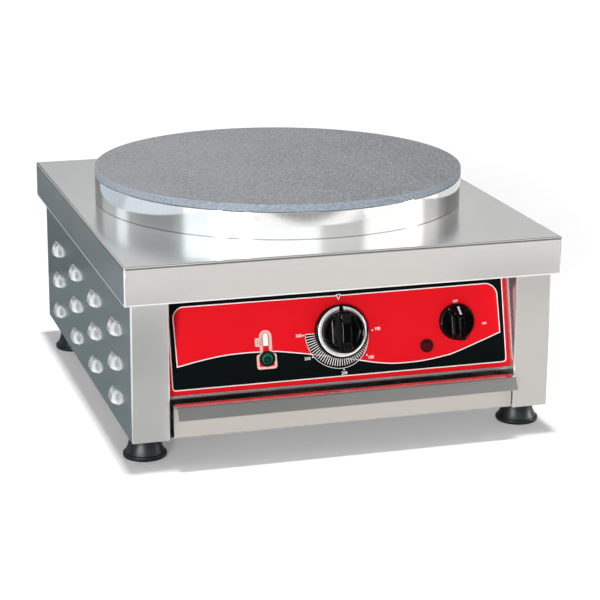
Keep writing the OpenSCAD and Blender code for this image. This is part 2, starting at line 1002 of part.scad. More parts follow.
// Body of a control: a box behind the panel with a bush that carries the spindle
module control_box(u, wide, high, deep) {
    difference() {
        union() {
            on_panel(u - wide / 2, knob_v - high / 2, -sheet - deep)
                cube([wide, high, deep]);
            on_panel(u, knob_v, -sheet)
                cylinder(d = bush_d, h = sheet + bush_out);
            for (x = [-tab_u, tab_u])
                for (y = [-tab_v, tab_v])
                    on_panel(u + x * wide, knob_v + y * high, -sheet - deep)
                        rotate([180, 0, 0])
                            tab();
        }
        on_panel(u, knob_v, -sheet - spindle_deep - clear_gap)
            cylinder(r = spindle_d / 2 + running_gap, h = spindle_deep + sheet + bush_out + 2 * through);
    }
}

module control_screw_bores() {
    at_control_screws()
        translate([0, 0, -sheet - control_screw_l - clear_gap])
            cylinder(r = small_bore_r, h = control_screw_l + clear_gap + through);
}

module thermostat_body() {
    color("sienna")
        difference() {
            control_box(0, thermostat_w, thermostat_h, thermostat_deep);
            control_screw_bores();
        }
}

module switch_body() {
    color("darkslategray")
        difference() {
            control_box(switch_u, switch_size, switch_size, switch_deep);
            control_screw_bores();
        }
}

// A spindle with a flat on its outer end; grow widens it for the socket in a knob
module spindle(u, top, grow = 0) {
    on_panel(u, knob_v, 0)
        difference() {
            translate([0, 0, -sheet - spindle_deep])
                cylinder(r = spindle_d / 2 + grow, h = sheet + spindle_deep + top + grow);
            translate([-spindle_d, -spindle_d * 1.5 + spindle_flat - grow, knob_w + 1])
                cube([2 * spindle_d, spindle_d, top]);
        }
}

module thermostat_spindle() {
    color("silver") spindle(0, knob_w + dial_socket);
}

module switch_spindle() {
    color("silver") spindle(switch_u, knob_w + dial_socket);
}

// -------------------------------------------------------------------------- knobs

// Round solid with a rounded front edge, standing on Z = 0
module round_grip(r, h, edge) {
    rotate_extrude($fn = 96)
        polygon(concat(
            [[0, 0], [r, 0]],
            [for (i = [0:fold_steps])
                let (a = 90 * i / fold_steps)
                [r - edge + edge * cos(a), h - edge + edge * sin(a)]],
            [[0, h]]
        ));
}

// Two hollows beside a knob's middle bar, so that fingers can hold the bar
module finger_hollows(r, h, floor_h) {
    hollow_r = h - floor_h;
    for (side = [-1, 1])
        translate([side * (grip_w / 2 + hollow_r), 0, h])
            rotate([90, 0, 0])
                cylinder(r = hollow_r, h = 2 * r, center = true, $fn = 64);
    for (side = [-1, 1])
        translate([side * (grip_w / 2 + hollow_r) + (side < 0 ? -2 * r : 0), -r, floor_h])
            cube([2 * r, 2 * r, h]);
}

ring_inner_r = ring_d / 2 - ring_w;
ring_seat = 0.8;
ring_out = 0.5;
knob_wall = 2.5;
hub_wall = 3;
grip_floor_h = 4;

module thermostat_knob() {
    grip_r = min(dial_grip_d / 2, ring_inner_r - seat_gap);
    color("black")
        difference() {
            on_panel(0, knob_v, knob_w) {
                cylinder(d = dial_d, h = dial_skirt_h, $fn = 96);
                difference() {
                    round_grip(grip_r, dial_skirt_h + dial_grip_h, 2 * knob_wall);
                    finger_hollows(
                        grip_r + through, dial_skirt_h + dial_grip_h, dial_skirt_h + grip_floor_h
                    );
                }
            }
            on_panel(0, knob_v, knob_w - through)
                difference() {
                    cylinder(r = dial_d / 2 - knob_wall, h = dial_skirt_h - knob_wall + through);
                    cylinder(r = spindle_d / 2 + hub_wall, h = dial_skirt_h);
                }
            on_panel(0, knob_v, knob_w - through)
                cylinder(r = bush_d / 2 + clear_gap, h = bush_out - knob_w + clear_gap + through);
            spindle(0, knob_w + dial_socket, running_gap);
            on_panel(0, knob_v, knob_w + dial_skirt_h - ring_seat)
                ring_band(ring_gap, ring_seat + through, running_gap);
        }
}

// An open band for the bright ring, with its gap at the top
module ring_band(gap, h, grow) {
    rotate([0, 0, 90 + gap / 2])
        rotate_extrude(angle = 360 - gap, $fn = 96)
            translate([ring_inner_r - grow, 0])
                square([ring_w + 2 * grow, h]);
}

module knob_ring() {
    color("white")
        on_panel(0, knob_v, knob_w + dial_skirt_h - ring_seat)
            ring_band(ring_gap + 0.5, ring_seat + ring_out, 0);
}

nose_start = 0.42;
nose_slope = 55;
switch_cap_t = 1.6;

module switch_knob() {
    r = switch_knob_d / 2;
    h = switch_base_h + switch_grip_h;
    color("black")
        difference() {
            on_panel(switch_u, knob_v, knob_w)
                difference() {
                    round_grip(r, h, switch_base_h - 0.5);
                    finger_hollows(r + through, h, switch_base_h);
                    translate([-r, r * nose_start, h])
                        rotate([-nose_slope, 0, 0])
                            cube([2 * r, 2 * r, h]);
                }
            on_panel(switch_u, knob_v, knob_w - through)
                difference() {
                    cylinder(r = r - knob_wall, h = switch_base_h - switch_cap_t + through);
                    cylinder(r = spindle_d / 2 + hub_wall, h = switch_base_h + through);
                }
            on_panel(switch_u, knob_v, knob_w - through)
                cylinder(r = bush_d / 2 + clear_gap, h = bush_out - knob_w + clear_gap + through);
            spindle(switch_u, knob_w + dial_socket, running_gap);
        }
}

// -------------------------------------------------------------------------- lamps

lens_out = 2.2;
lens_seat = 4;
bezel_out = 1.6;
barrel_wall = 0.6;
lamp_tab_w = 4;
lamp_tab_u = 0.4;

module lamp_body(u, v, lens_d) {
    barrel_r = lens_d / 2;
    on_panel(u, v, 0)
        difference() {
            union() {
                translate([0, 0, overlay_t])
                    cylinder(r = barrel_r + bezel_w, h = bezel_out);
                translate([0, 0, -sheet - lamp_deep])
                    cylinder(r = barrel_r, h = sheet + lamp_deep + overlay_t + bezel_out);
                for (x = [-lamp_tab_u, lamp_tab_u])
                    translate([x * lens_d, 0, -sheet - lamp_deep])
                        rotate([180, 0, 0])
                            tab(lamp_tab_w);
            }
            translate([0, 0, -lens_seat])
                cylinder(r = barrel_r - barrel_wall, h = lens_seat + overlay_t + bezel_out + through);
        }
}

// A round lens that fills the barrel's mouth and bulges out of it
module lamp_lens(u, v, lens_d) {
    r = lens_d / 2 - barrel_wall - running_gap;
    on_panel(u, v, -lens_seat + seat_gap)
        rotate_extrude($fn = 64)
            polygon(concat(
                [[0, 0], [r, 0]],
                [for (i = [0:fold_steps])
                    let (a = 90 * i / fold_steps)
                    [r * cos(a), lens_seat + overlay_t + lens_out * sin(a)]]
            ));
}

module red_lamp_body() {
    color("darkred") lamp_body(red_lamp_u, red_lamp_v, red_lens_d);
}

module red_lamp_lens() {
    color("red") lamp_lens(red_lamp_u, red_lamp_v, red_lens_d);
}

module green_lamp_body() {
    color("darkslategray") lamp_body(-green_lamp_u, green_lamp_v, green_lens_d);
}

module green_lamp_lens() {
    color("green") lamp_lens(-green_lamp_u, green_lamp_v, green_lens_d);
}

// -------------------------------------------------------------------- electrical

block_w = 60;
block_h = 20;
block_deep = 22;
block_pitch = 15;
block_well_d = 7;
block_screw_in = 5;
block_z = base_z + gland_z + gland_d / 2 + 16;
block_back = body_back - 2 * sheet;
block_x = -gland_x + block_w / 3;

module at_block_screws() {
    for (x = [-block_w / 2 + block_screw_in, block_w / 2 - block_screw_in])
        translate([block_x + x, body_back - sheet, block_z + block_h / 2])
            rotate([-90, 0, 0])
                children();
}

// Three-way connector block on the inside of the rear panel
module terminal_block() {
    color("ivory")
        difference() {
            translate([block_x - block_w / 2, block_back - block_deep, block_z])
                cube([block_w, block_deep, block_h]);
            for (i = [-1, 0, 1]) {
                translate([block_x + i * block_pitch, wire_y, block_z + block_h / 2])
                    cylinder(d = block_well_d, h = block_h);
                translate([block_x + i * block_pitch, wire_y, block_z - through])
                    cylinder(d = wire_d + 2 * clear_gap, h = block_h);
            }
            at_block_screws()
                translate([0, 0, -sheet - block_deep])
                    cylinder(r = small_bore_r, h = block_deep + through);
        }
}

earth_side = 70;
earth_stud_l = 14;
earth_nut_h = 3.2;

module at_earth_stud() {
    translate([-gland_x + earth_side, body_back - sheet, base_z + gland_z])
        rotate([-90, 0, 0])
            children();
}

module earth_stud() {
    color("gold")
        at_earth_stud() {
            cylinder(d = screw_head_d, h = sheet - seat_gap);
            translate([0, 0, -sheet - earth_stud_l])
                cylinder(d = screw_d, h = sheet + earth_stud_l);
            translate([0, 0, -sheet - earth_nut_h])
                cylinder(d = screw_head_d, h = earth_nut_h, $fn = 6);
        }
}

gland_inner_l = 12;
gland_hex_h = 6;
gland_cap_h = 7;
gland_cone_h = 5;
gland_nut_h = 5;

// The gland's barrel goes through the rear panel; its dome is on the outside
module cable_gland() {
    out = [-gland_x, body_back - sheet, base_z + gland_z];
    dome_h = gland_hex_h + gland_cap_h + gland_cone_h;
    color("black")
        difference() {
            translate(out)
                rotate([-90, 0, 0]) {
                    translate([0, 0, -sheet - gland_inner_l])
                        cylinder(d = gland_d, h = sheet + gland_inner_l);
                    cylinder(d = gland_d * 1.3, h = gland_hex_h, $fn = 6);
                    translate([0, 0, gland_hex_h])
                        cylinder(d = gland_d * 1.1, h = gland_cap_h);
                    translate([0, 0, gland_hex_h + gland_cap_h])
                        cylinder(d1 = gland_d * 1.1, d2 = cable_hole_d * 1.5, h = gland_cone_h);
                }
            translate(out)
                rotate([-90, 0, 0])
                    translate([0, 0, -sheet - gland_inner_l - through])
                        cylinder(d = cable_hole_d, h = sheet + gland_inner_l + dome_h + 2 * through);
        }
}

module gland_nut() {
    color("dimgray")
        translate([-gland_x, block_back, base_z + gland_z])
            rotate([90, 0, 0])
                hex_nut(gland_d * 1.2, gland_nut_h, gland_d / 2 + running_gap);
}

wire_d = 2.6;
lamp_wire_d = 1.8;
tab_u = 0.25;
tab_v = 0.3;
tail = 15;
wire_y = block_back - block_deep / 2;
wire_level = block_z + block_h + 20;
link_z = leg_end_z - terminal_bead_h - tail;

// Point on the connector tab of a control: to the left or right, low or high, back by b
function switch_tab(side, level, b) = panel_point(
    switch_u + side * tab_u * switch_size,
    knob_v + level * tab_v * switch_size,
    -sheet - switch_deep - tab_l - clear_gap - b
);

function thermostat_tab(side, level, b) = panel_point(
    side * tab_u * thermostat_w,
    knob_v + level * tab_v * thermostat_h,
    -sheet - thermostat_deep - tab_l - clear_gap - b
);

function leg_point(r, side, z) = [
    r * cos(leg_angle),
    plate_y + side * r * sin(leg_angle),
    z
];

// Mains leads: block to switch, switch to thermostat, and both to the elements
module wiring() {
    from_switch = switch_tab(-1, -1, tail);
    to_thermostat = thermostat_tab(1, 1, tail);
    middle_x = (from_switch[0] + to_thermostat[0]) / 2;
    color("orangered") {
        for (side = [-1, 1]) {
            level = wire_level - side * wire_d * 2;
            near = switch_tab(side, 1, tail);
            tube_run([
                [block_x + side * block_pitch, wire_y, block_z + block_h * 0.6],
                [block_x + side * block_pitch, wire_y, level],
                [near[0], wire_y, level],
                [near[0], near[1], level],
                near,
                switch_tab(side, 1, 0)
            ], wire_d);
        }
        tube_run([
            switch_tab(-1, -1, 0),
            from_switch,
            [middle_x, from_switch[1], from_switch[2]],
            [middle_x, to_thermostat[1], to_thermostat[2]],
            to_thermostat,
            thermostat_tab(1, 1, 0)
        ], wire_d);
        heater_lead(thermostat_tab(1, -1, 0), thermostat_tab(1, -1, tail), -1, 2 * tail);
        heater_lead(switch_tab(1, -1, 0), switch_tab(1, -1, tail), 1, 6 * tail);
        for (side = [-1, 1])
            tube_run([
                leg_point(outer_ring_r, side, leg_end_z - terminal_bead_h),
                leg_point(outer_ring_r, side, link_z),
                leg_point(inner_ring_r, side, link_z),
                leg_point(inner_ring_r, side, leg_end_z - terminal_bead_h)
            ], wire_d);
    }
}

// A lead from a control's tab back, across and up to the link between both elements
module heater_lead(start, near, side, back) {
    end = leg_point((outer_ring_r + inner_ring_r) / 2, side, link_z - wire_d / 2 - clear_gap);
    tube_run([
        start,
        near,
        [near[0], near[1] + back, near[2]],
        [end[0], near[1] + back, near[2]],
        [end[0], end[1], near[2]],
        end
    ], wire_d);
}

// Thin leads from each lamp to the control that feeds it
module lamp_wiring() {
    for (i = [0, 1]) {
        half = i - 0.5;
        lamp_lead(
            red_lamp_u + half * 2 * lamp_tab_u * red_lens_d, red_lamp_v, i,
            switch_u + half * tab_w, knob_v, -sheet - switch_deep
        );
        lamp_lead(
            -green_lamp_u + half * 2 * lamp_tab_u * green_lens_d, green_lamp_v, i,
            half * tab_w - thermostat_w / 4, knob_v - tab_w, -sheet - thermostat_deep
        );
    }
}

module lamp_lead(u, v, i, end_u, end_v, end_w) {
    tab_end = -sheet - lamp_deep - tab_l - clear_gap;
    back = min(tab_end, end_w) - tail * (i == 0 ? 1.3 : 1);
    color("gold")
        tube_run([
            panel_point(u, v, tab_end),
            panel_point(u, v, back),
            panel_point(end_u, v, back),
            panel_point(end_u, end_v, back),
            panel_point(end_u, end_v, end_w - clear_gap)
        ], lamp_wire_d);
}

module earth_lead() {
    stud_x = -gland_x + earth_side;
    color("yellowgreen")
        tube_run([
            [block_x, wire_y, block_z + block_h * 0.4],
            [block_x, wire_y, block_z - block_h * 0.4],
            [stud_x, wire_y, block_z - block_h * 0.4],
            [stud_x, wire_y, base_z + gland_z + screw_d / 2 + clear_gap]
        ], wire_d);
}

// ------------------------------------------------------------------------- drawer

tray_floor_t = 1;
tray_z = pan_top + runner_t + clear_gap;
runner_past_tray = 10;

module drawer_front() {
    edge = sheet / 2;
    fold_y = drawer_face - ledge_d;
    color("gainsboro") {
        translate([-drawer_half, drawer_face, drawer_z])
            cube([2 * drawer_half, sheet, drawer_front_h - fold_r]);
        along_x(-drawer_half + lip_end, drawer_half - lip_end)
            folded_sheet([
                [drawer_face + edge, drawer_top - 2 * fold_r],
                [drawer_face + edge, drawer_top - edge],
                [fold_y, drawer_top - edge],
                [fold_y - lip_run + edge, drawer_top - lip_drop]
            ]);
    }
}

module drawer_tray() {
    color("silver")
        difference() {
            translate([-tray_half, tray_front, tray_z])
                cube([2 * tray_half, tray_d, tray_h]);
            translate([-tray_half + tray_floor_t, tray_front + tray_floor_t, tray_z + tray_floor_t])
                cube([2 * (tray_half - tray_floor_t), tray_d - 2 * tray_floor_t, tray_h]);
        }
}

// An angle under each side of the tray, which the tray slides on
module runner(side) {
    wall = tray_half + clear_gap + runner_t / 2;
    along_y(body_front + 4 * fold_r, tray_front + tray_d + runner_past_tray)
        folded_sheet([
            [side * (wall - runner_w), pan_top + runner_t / 2],
            [side * wall, pan_top + runner_t / 2],
            [side * wall, pan_top + runner_h]
        ], runner_t, runner_t * 1.6);
}

module runner_left() {
    color("gray") runner(-1);
}

module runner_right() {
    color("gray") runner(1);
}

// --------------------------------------------------------------------------- feet

foot_lip_h = 4.5;
foot_edge = 1.5;
flare_steps = 6;
flare_power = 2.2;

// A bell-shaped foot with its stud, standing on the floor
module foot(x, y) {
    color("black")
        translate([x, y, 0]) {
            rotate_extrude($fn = 96)
                polygon(concat(
                    [[0, 0], [foot_r - foot_edge, 0], [foot_r, foot_edge], [foot_r, foot_lip_h]],
                    [for (i = [1:flare_steps])
                        let (s = i / flare_steps)
                        [foot_neck_r + (foot_r - foot_edge - foot_neck_r) * pow(1 - s, flare_power),
                         foot_lip_h + (foot_h - foot_lip_h - seat_gap) * s]],
                    [[0, foot_h - seat_gap]]
                ));
            translate([0, 0, foot_h / 2])
                cylinder(d = foot_stud_d, h = foot_h / 2 + foot_stud_l);
        }
}

module foot_front_left() {
    foot(-foot_x, foot_front_y);
}

module foot_front_right() {
    foot(foot_x, foot_front_y);
}

module foot_rear_left() {
    foot(-foot_x, foot_rear_y);
}

module foot_rear_right() {
    foot(foot_x, foot_rear_y);
}

module foot_nuts() {
    color("silver")
        at_feet()
            translate([0, 0, pan_top])
                hex_nut(foot_stud_d * 1.6, foot_stud_d * 0.8, foot_stud_d / 2 + running_gap);
}

// -------------------------------------------------------------------- all pieces

top_cover();
plate_collar();
cooking_plate();
outer_element();
inner_element();
element_terminals();
element_clamp();
insulation_pad();
reflector_pan();
plate_bridges();
plate_studs();
plate_nuts();
side_panel_left();
side_panel_right();
rear_panel();
base_pan();
control_panel();
panel_overlay();
thermostat_body();
thermostat_bulb();
thermostat_spindle();
thermostat_knob();
knob_ring();
switch_body();
switch_spindle();
switch_knob();
red_lamp_body();
red_lamp_lens();
green_lamp_body();
green_lamp_lens();
safety_limiter();
terminal_block();
earth_stud();
cable_gland();
gland_nut();
wiring();
lamp_wiring();
earth_lead();
drawer_front();
drawer_tray();
runner_left();
runner_right();
foot_front_left();
foot_front_right();
foot_rear_left();
foot_rear_right();
foot_nuts();
cover_studs();
cover_nuts();
rear_screws();
control_screws();
panel_screws();
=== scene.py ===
import json
from math import cos, hypot, pi, radians, sin, sqrt, tan

import bmesh
import bpy
from mathutils import Matrix, Vector


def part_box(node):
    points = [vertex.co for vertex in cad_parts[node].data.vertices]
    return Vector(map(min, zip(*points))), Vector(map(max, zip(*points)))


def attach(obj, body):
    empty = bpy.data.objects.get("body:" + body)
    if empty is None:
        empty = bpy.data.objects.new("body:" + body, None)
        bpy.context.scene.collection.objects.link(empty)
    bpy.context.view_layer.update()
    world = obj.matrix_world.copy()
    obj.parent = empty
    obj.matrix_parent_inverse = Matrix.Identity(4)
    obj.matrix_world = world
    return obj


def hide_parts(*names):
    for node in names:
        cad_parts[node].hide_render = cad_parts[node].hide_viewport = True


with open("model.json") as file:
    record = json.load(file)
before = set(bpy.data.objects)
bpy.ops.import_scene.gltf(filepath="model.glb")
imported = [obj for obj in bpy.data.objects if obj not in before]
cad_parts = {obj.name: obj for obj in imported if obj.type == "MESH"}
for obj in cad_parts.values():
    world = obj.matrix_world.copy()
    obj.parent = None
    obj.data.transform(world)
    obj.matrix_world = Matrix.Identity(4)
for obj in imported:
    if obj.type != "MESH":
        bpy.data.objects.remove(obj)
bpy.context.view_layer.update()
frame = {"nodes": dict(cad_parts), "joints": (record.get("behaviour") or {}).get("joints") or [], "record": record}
nodes = frame["nodes"]
joints = {joint["name"]: joint for joint in frame["joints"]}
slot_of = {part["node"]: part["material_slot"] for part in frame["record"]["subparts"]}
body_of = {node: body for body, names in frame["record"]["behaviour"]["bodies"].items() for node in names}
scene = bpy.context.scene

MM = 0.001
SLIVER = 0.001  # millimetres within which the points of a shape drawn in millimetres are one


# ---- node trees

class Wire:
    """One output of a node tree that takes part in Python arithmetic."""

    def __init__(self, tree, socket):
        self.tree = tree
        self.socket = socket

    def maths(self, operation, *others):
        """A Math node on this value and on any others that its operation takes."""
        return self.tree.maths(operation, self, *others)

    def __add__(self, other):
        return self.maths("ADD", other)

    def __sub__(self, other):
        return self.maths("SUBTRACT", other)

    def __rsub__(self, other):
        return self.tree.maths("SUBTRACT", other, self)

    def __mul__(self, other):
        return self.maths("MULTIPLY", other)

    def __truediv__(self, other):
        return self.maths("DIVIDE", other)

    __radd__ = __add__
    __rmul__ = __mul__


def hypotenuse(a, b):
    """The length of (a, b)."""
    return (a * a + b * b).maths("SQRT")


class Tree:
    """A node tree that grows by one call for each node."""

    def __init__(self, tree):
        self.tree = tree

    def add(self, kind, values=None, output=0, **settings):
        """Adds a node, sets it up, feeds its sockets and returns one of its outputs."""
        node = self.tree.nodes.new(kind)
        for name, value in settings.items():
            if name == "stops":
                spots = node.color_ramp.elements
                spots[0].position, spots[-1].position = value[0][0], value[-1][0]
                inner = [spots.new(place) for place, _ in value[1:-1]]
                for spot, (_, level) in zip([spots[0], *inner, spots[-1]], value):
                    spot.color = (level, level, level, 1)
            else:
                setattr(node, name, value)
        for name, value in (values or {}).items():
            if isinstance(value, (Wire, list)):
                for wire in value if isinstance(value, list) else [value]:
                    self.tree.links.new(wire.socket, node.inputs[name])
            else:
                node.inputs[name].default_value = value
        return Wire(self, node.outputs[output]) if node.outputs else node

    def maths(self, operation, *values):
        return self.add("ShaderNodeMath", dict(enumerate(values)), operation=operation)

    def vector(self, x=0.0, y=0.0, z=0.0):
        return self.add("ShaderNodeCombineXYZ", {"X": x, "Y": y, "Z": z})

    def ramp(self, value, low, high):
        """value carried smoothly from low to high onto 0 to 1."""
        ends = {"Value": value, "From Min": low, "From Max": high}
        return self.add("ShaderNodeMapRange", ends, interpolation_type="SMOOTHSTEP")

    def mix(self, mask, first, second):
        """first where mask is 0 and second where it is 1, both colours."""
        first, second = (c if isinstance(c, Wire) else (*c, 1) for c in (first, second))
        return self.add("ShaderNodeMix", {0: mask, 6: first, 7: second}, 2, data_type="RGBA")


class Finish(Tree):
    """A procedural finish. Patterns are laid out in metres on the piece's own coordinates."""

    def __init__(self, name):
        self.material = bpy.data.materials.new(name)
        self.material.use_nodes = True
        self.material.node_tree.nodes.clear()
        super().__init__(self.material.node_tree)
        self.coords = self.add("ShaderNodeTexCoord", output="Object")

    def stretched(self, *scale):
        """The piece's coordinates, scaled along each axis."""
        return self.add("ShaderNodeMapping", {"Vector": self.coords, "Scale": scale})

    def noise(self, vector, scale=1.0, detail=2.0, roughness=0.5):
        return self.add("ShaderNodeTexNoise", {
            "Vector": vector, "Scale": scale, "Detail": detail, "Roughness": roughness,
        })

    def cells(self, scale, output=0):
        return self.add("ShaderNodeTexVoronoi", {"Vector": self.coords, "Scale": scale}, output)

    def axis(self, name, start=0.0):
        """One of the piece's coordinates, counted from a start."""
        place = self.add("ShaderNodeSeparateXYZ", {"Vector": self.coords}, name)
        return place - start if start else place

    def shade(self, mask, colour, spread):
        """colour made darker and lighter by spread as mask goes from 0 to 1."""
        darker = tuple(c * (1 - spread) for c in colour)
        lighter = tuple(min(1, c * (1 + spread)) for c in colour)
        return self.mix(mask, darker, lighter)

    def bumps(self, height, distance, strength):
        return self.add("ShaderNodeBump", {"Height": height, "Distance": distance, "Strength": strength})

    def surface(self, **values):
        """Ends the finish with its surface shader and returns the material."""
        shader = self.add("ShaderNodeBsdfPrincipled", {
            name.replace("_", " "): value for name, value in values.items()
        })
        self.add("ShaderNodeOutputMaterial", {"Surface": shader})
        return self.material


# ---- finishes

def rolled_steel(name, colour, roughness, metallic=0.8, painted_highlight_below=0.0, proud_from=1.0, painted_dark_line_at=1.0):
    """Stainless sheet: rolling grain and faint clouds, with a painted highlight on the cut lower edge and on
    proud pressings, and a painted dark line that stands in for the shade under a bend.

    Its last three arguments are the height of the cut lower edge, up to which the highlight is painted, the
    distance from the middle at which pressings stand proud and beyond which the highlight is painted, and the
    height of the painted dark line.
    """
    grain = (60, 1400, 1400)
    # colours of the painted highlight and of the painted dark line
    painted_highlight_colour, painted_dark_line_colour = (0.93, 0.93, 0.92), (0.02, 0.02, 0.02)
    f = Finish(name)
    fine = f.noise(f.stretched(*grain), 1, 3, 0.6)
    streak = f.noise(f.stretched(*(g * 0.12 for g in grain)), 1, 2)
    cloud = f.noise(f.stretched(7, 7, 7), 1, 3, 0.55)
    tone = streak * 0.6 + cloud * 0.4
    # painted highlight: the cut lower edge is made bright and less metallic
    edge = 1 - f.ramp(f.axis("Z"), painted_highlight_below, painted_highlight_below + 0.6 * MM)
    # painted highlight: pressings that stand proud are made bright and less metallic
    proud = f.ramp(f.axis("X").maths("ABSOLUTE"), proud_from + 1.0 * MM, proud_from + 3.2 * MM)
    # painted shade: a dark band at one height stands in for the shade under a bend
    line = 1 - f.ramp(f.axis("Z", painted_dark_line_at).maths("ABSOLUTE"), 0.6 * MM, 1.1 * MM)
    plain = f.mix(line * 0.75, f.shade(tone, colour, 0.03), painted_dark_line_colour)
    return f.surface(
        Base_Color=f.mix(edge.maths("MAXIMUM", proud), plain, painted_highlight_colour),
        Metallic=metallic - edge * (metallic - 0.2) - proud * 0.3,
        Roughness=roughness + (cloud - 0.5) * 0.08 + (fine - 0.5) * 0.1,
        Normal=f.bumps(fine, 0.02 * MM, 0.25),
    )


def polished_ring(name, colour, roughness, centre, foot):
    """Rolled and polished ring: faint upright lines round its wall and a darker line at its foot."""
    f = Finish(name)
    angle = f.axis("Y", centre.y).maths("ARCTAN2", f.axis("X", centre.x))
    line = f.noise(f.vector(x=angle * 230, y=f.axis("Z") * 25), 1, 4, 0.65)
    cloud = f.noise(f.stretched(14, 14, 14), 1, 2)
    # the wall is darkened just above its foot
    crease = 1 - f.ramp(f.axis("Z"), foot + 0.3 * MM, foot + 1.2 * MM)
    return f.surface(
        Base_Color=f.mix(crease * 0.7, f.shade(line, colour, 0.1), (0.2, 0.21, 0.21)),
        Metallic=1.0,
        Roughness=roughness + (line - 0.5) * 0.1 + (cloud - 0.5) * 0.05,
        Normal=f.bumps(line, 0.04 * MM, 0.4),
    )


def cast_plate(name, top_colour, rim_colour, centre, radius):
    """Machined casting: a finely speckled top with painted shade that darkens it towards its right and back, and a
    brighter turned rim.
    """
    f = Finish(name)
    grain = f.noise(f.coords, 420, 2, 0.75)
    x, y = f.axis("X", centre.x), f.axis("Y", centre.y)
    rim = f.ramp(hypotenuse(x, y), radius - 1.2 * MM, radius - 0.4 * MM)
    # painted shade: the top grows darker towards the right and the back, standing in for less light there
    tint = f.ramp(x * 0.8 - y * 0.3, -0.2, 0.24)
    tone = grain * 0.6 + f.cells(420) * 0.25 + f.noise(f.coords, 9, 3) * 0.1 - tint * 0.09 + 0.06
    speckle = f.ramp(tone, 0.3, 0.62)
    return f.surface(
        Base_Color=f.mix(rim, f.shade(speckle, top_colour, 0.5), f.shade(speckle, rim_colour, 0.22)),
        Metallic=0.3 - rim * 0.3,
        Specular_IOR_Level=0.25,
        Roughness=0.56 + (grain - 0.5) * 0.2,
        Normal=f.bumps(grain, 0.08 * MM, 0.35),
    )


def zinc_sheet(name, colour):
    """Zinc-coated sheet with its broad crystals."""
    f = Finish(name)
    flake = f.add("ShaderNodeSeparateColor", {"Color": f.cells(75, "Color")})
    cloud = f.noise(f.coords, 30, 2)
    return f.surface(
        Base_Color=f.shade(flake * 0.7 + cloud * 0.3, colour, 0.16),
        Metallic=0.9,
        Roughness=0.42 + (flake - 0.5) * 0.16,
        Normal=f.bumps(cloud, 0.05 * MM, 0.3),
    )


def turned_metal(name, colour, roughness, metallic=1.0):
    """Small turned or plated metal pieces, with light wear."""
    f = Finish(name)
    wear = f.noise(f.coords, 260, 3)
    return f.surface(
        Base_Color=f.shade(wear, colour, 0.1),
        Metallic=metallic,
        Roughness=roughness + (wear - 0.5) * 0.14,
        Normal=f.bumps(wear, 0.03 * MM, 0.3),
    )


def moulded(name, colour, roughness, grain=900, spread=0.08, shine=0.5):
    """Moulded plastic, ceramic or rubber with a fine surface grain."""
    f = Finish(name)
    skin = f.noise(f.coords, grain, 2, 0.6)
    cloud = f.noise(f.coords, 25, 2)
    return f.surface(
        Base_Color=f.shade(skin * 0.5 + cloud * 0.5, colour, spread),
        Specular_IOR_Level=shine,
        Roughness=roughness + (skin - 0.5) * 0.06 + (cloud - 0.5) * 0.05,
        Normal=f.bumps(skin, 0.03 * MM, 0.2),
    )


def mineral_wool(name, colour):
    f = Finish(name)
    fibre = f.noise(f.stretched(900, 900, 300), 1, 5, 0.75)
    return f.surface(
        Base_Color=f.shade(fibre, colour, 0.35),
        Roughness=0.95,
        Normal=f.bumps(fibre, 0.6 * MM, 0.8),
    )


def middle_of(node):
    low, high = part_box(node)
    return (low + high) / 2


def lens_finish(lamp, colour, rim_colour, rim_from, ring_pitch):
    """Translucent lamp lens with moulded rings under its glossy face, and its rim in another colour, which on the
    green lens is a painted glow of light through its edge.
    """
    centre = middle_of(lamp + "_lamp_lens")
    f = Finish(lamp + "_lens")
    distance = hypotenuse(f.axis("X", centre.x), f.axis("Z", centre.z))
    ring = (distance * (2 * pi / ring_pitch)).maths("SINE")
    rim = f.ramp(distance, rim_from - 0.3 * MM, rim_from + 0.3 * MM)
    return f.surface(
        Base_Color=f.mix(rim, f.shade(ring * 0.5 + 0.5, colour, 0.45), rim_colour),
        Roughness=0.06,
        Specular_IOR_Level=0.08,
        Normal=f.bumps(ring, 0.1 * MM, 0.5),
    )


def print_ink(name, colour):
    """Screen-printed ink under a satin film, with a barely uneven coat."""
    f = Finish(name)
    film = f.noise(f.coords, 40, 2)
    return f.surface(
        Base_Color=f.shade(film, colour, 0.03),
        Specular_IOR_Level=0.03,
        Roughness=0.3 + (film - 0.5) * 0.06,
        Normal=f.bumps(film, 0.04 * MM, 0.2),
    )


plate_low, plate_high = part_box("cooking_plate")
plate_centre = middle_of("cooking_plate")
plate_r = (plate_high.x - plate_low.x) / 2
collar_low, collar_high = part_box("plate_collar")
LOUVRE_OUT = 6.3 * MM  # how far the louvres stand out of their side
SHEET = (0.74, 0.735, 0.725)

# colour, roughness and what else each plain finish is given
METALS = {
    "element_sheath": ((0.10, 0.10, 0.095), 0.5),
    "zinc_fastener": ((0.62, 0.62, 0.61), 0.3),
    "copper": ((0.72, 0.38, 0.24), 0.32),
    "spindle_steel": ((0.55, 0.55, 0.55), 0.3),
    "chrome_ring": ((0.93, 0.93, 0.93), 0.28, 0.1),
    "brass": ((0.74, 0.56, 0.26), 0.3),
}
MOULDINGS = {
    "ceramic": ((0.80, 0.77, 0.70), 0.55),
    "phenolic": ((0.16, 0.07, 0.04), 0.5),
    "switch_plastic": ((0.10, 0.11, 0.12), 0.5),
    "black_knob": ((0.0015, 0.0017, 0.0018), 0.06, 400, 0.1, 0.15),
    "lamp_bezel": ((0.01, 0.008, 0.008), 0.2, 400, 0.1, 0.2),
    "gland_plastic": ((0.02, 0.02, 0.021), 0.45),
    "wire_sleeve": ((0.45, 0.13, 0.05), 0.55),
    "foot_plastic": ((0.008, 0.012, 0.013), 0.38, 500, 0.3, 0.3),
}
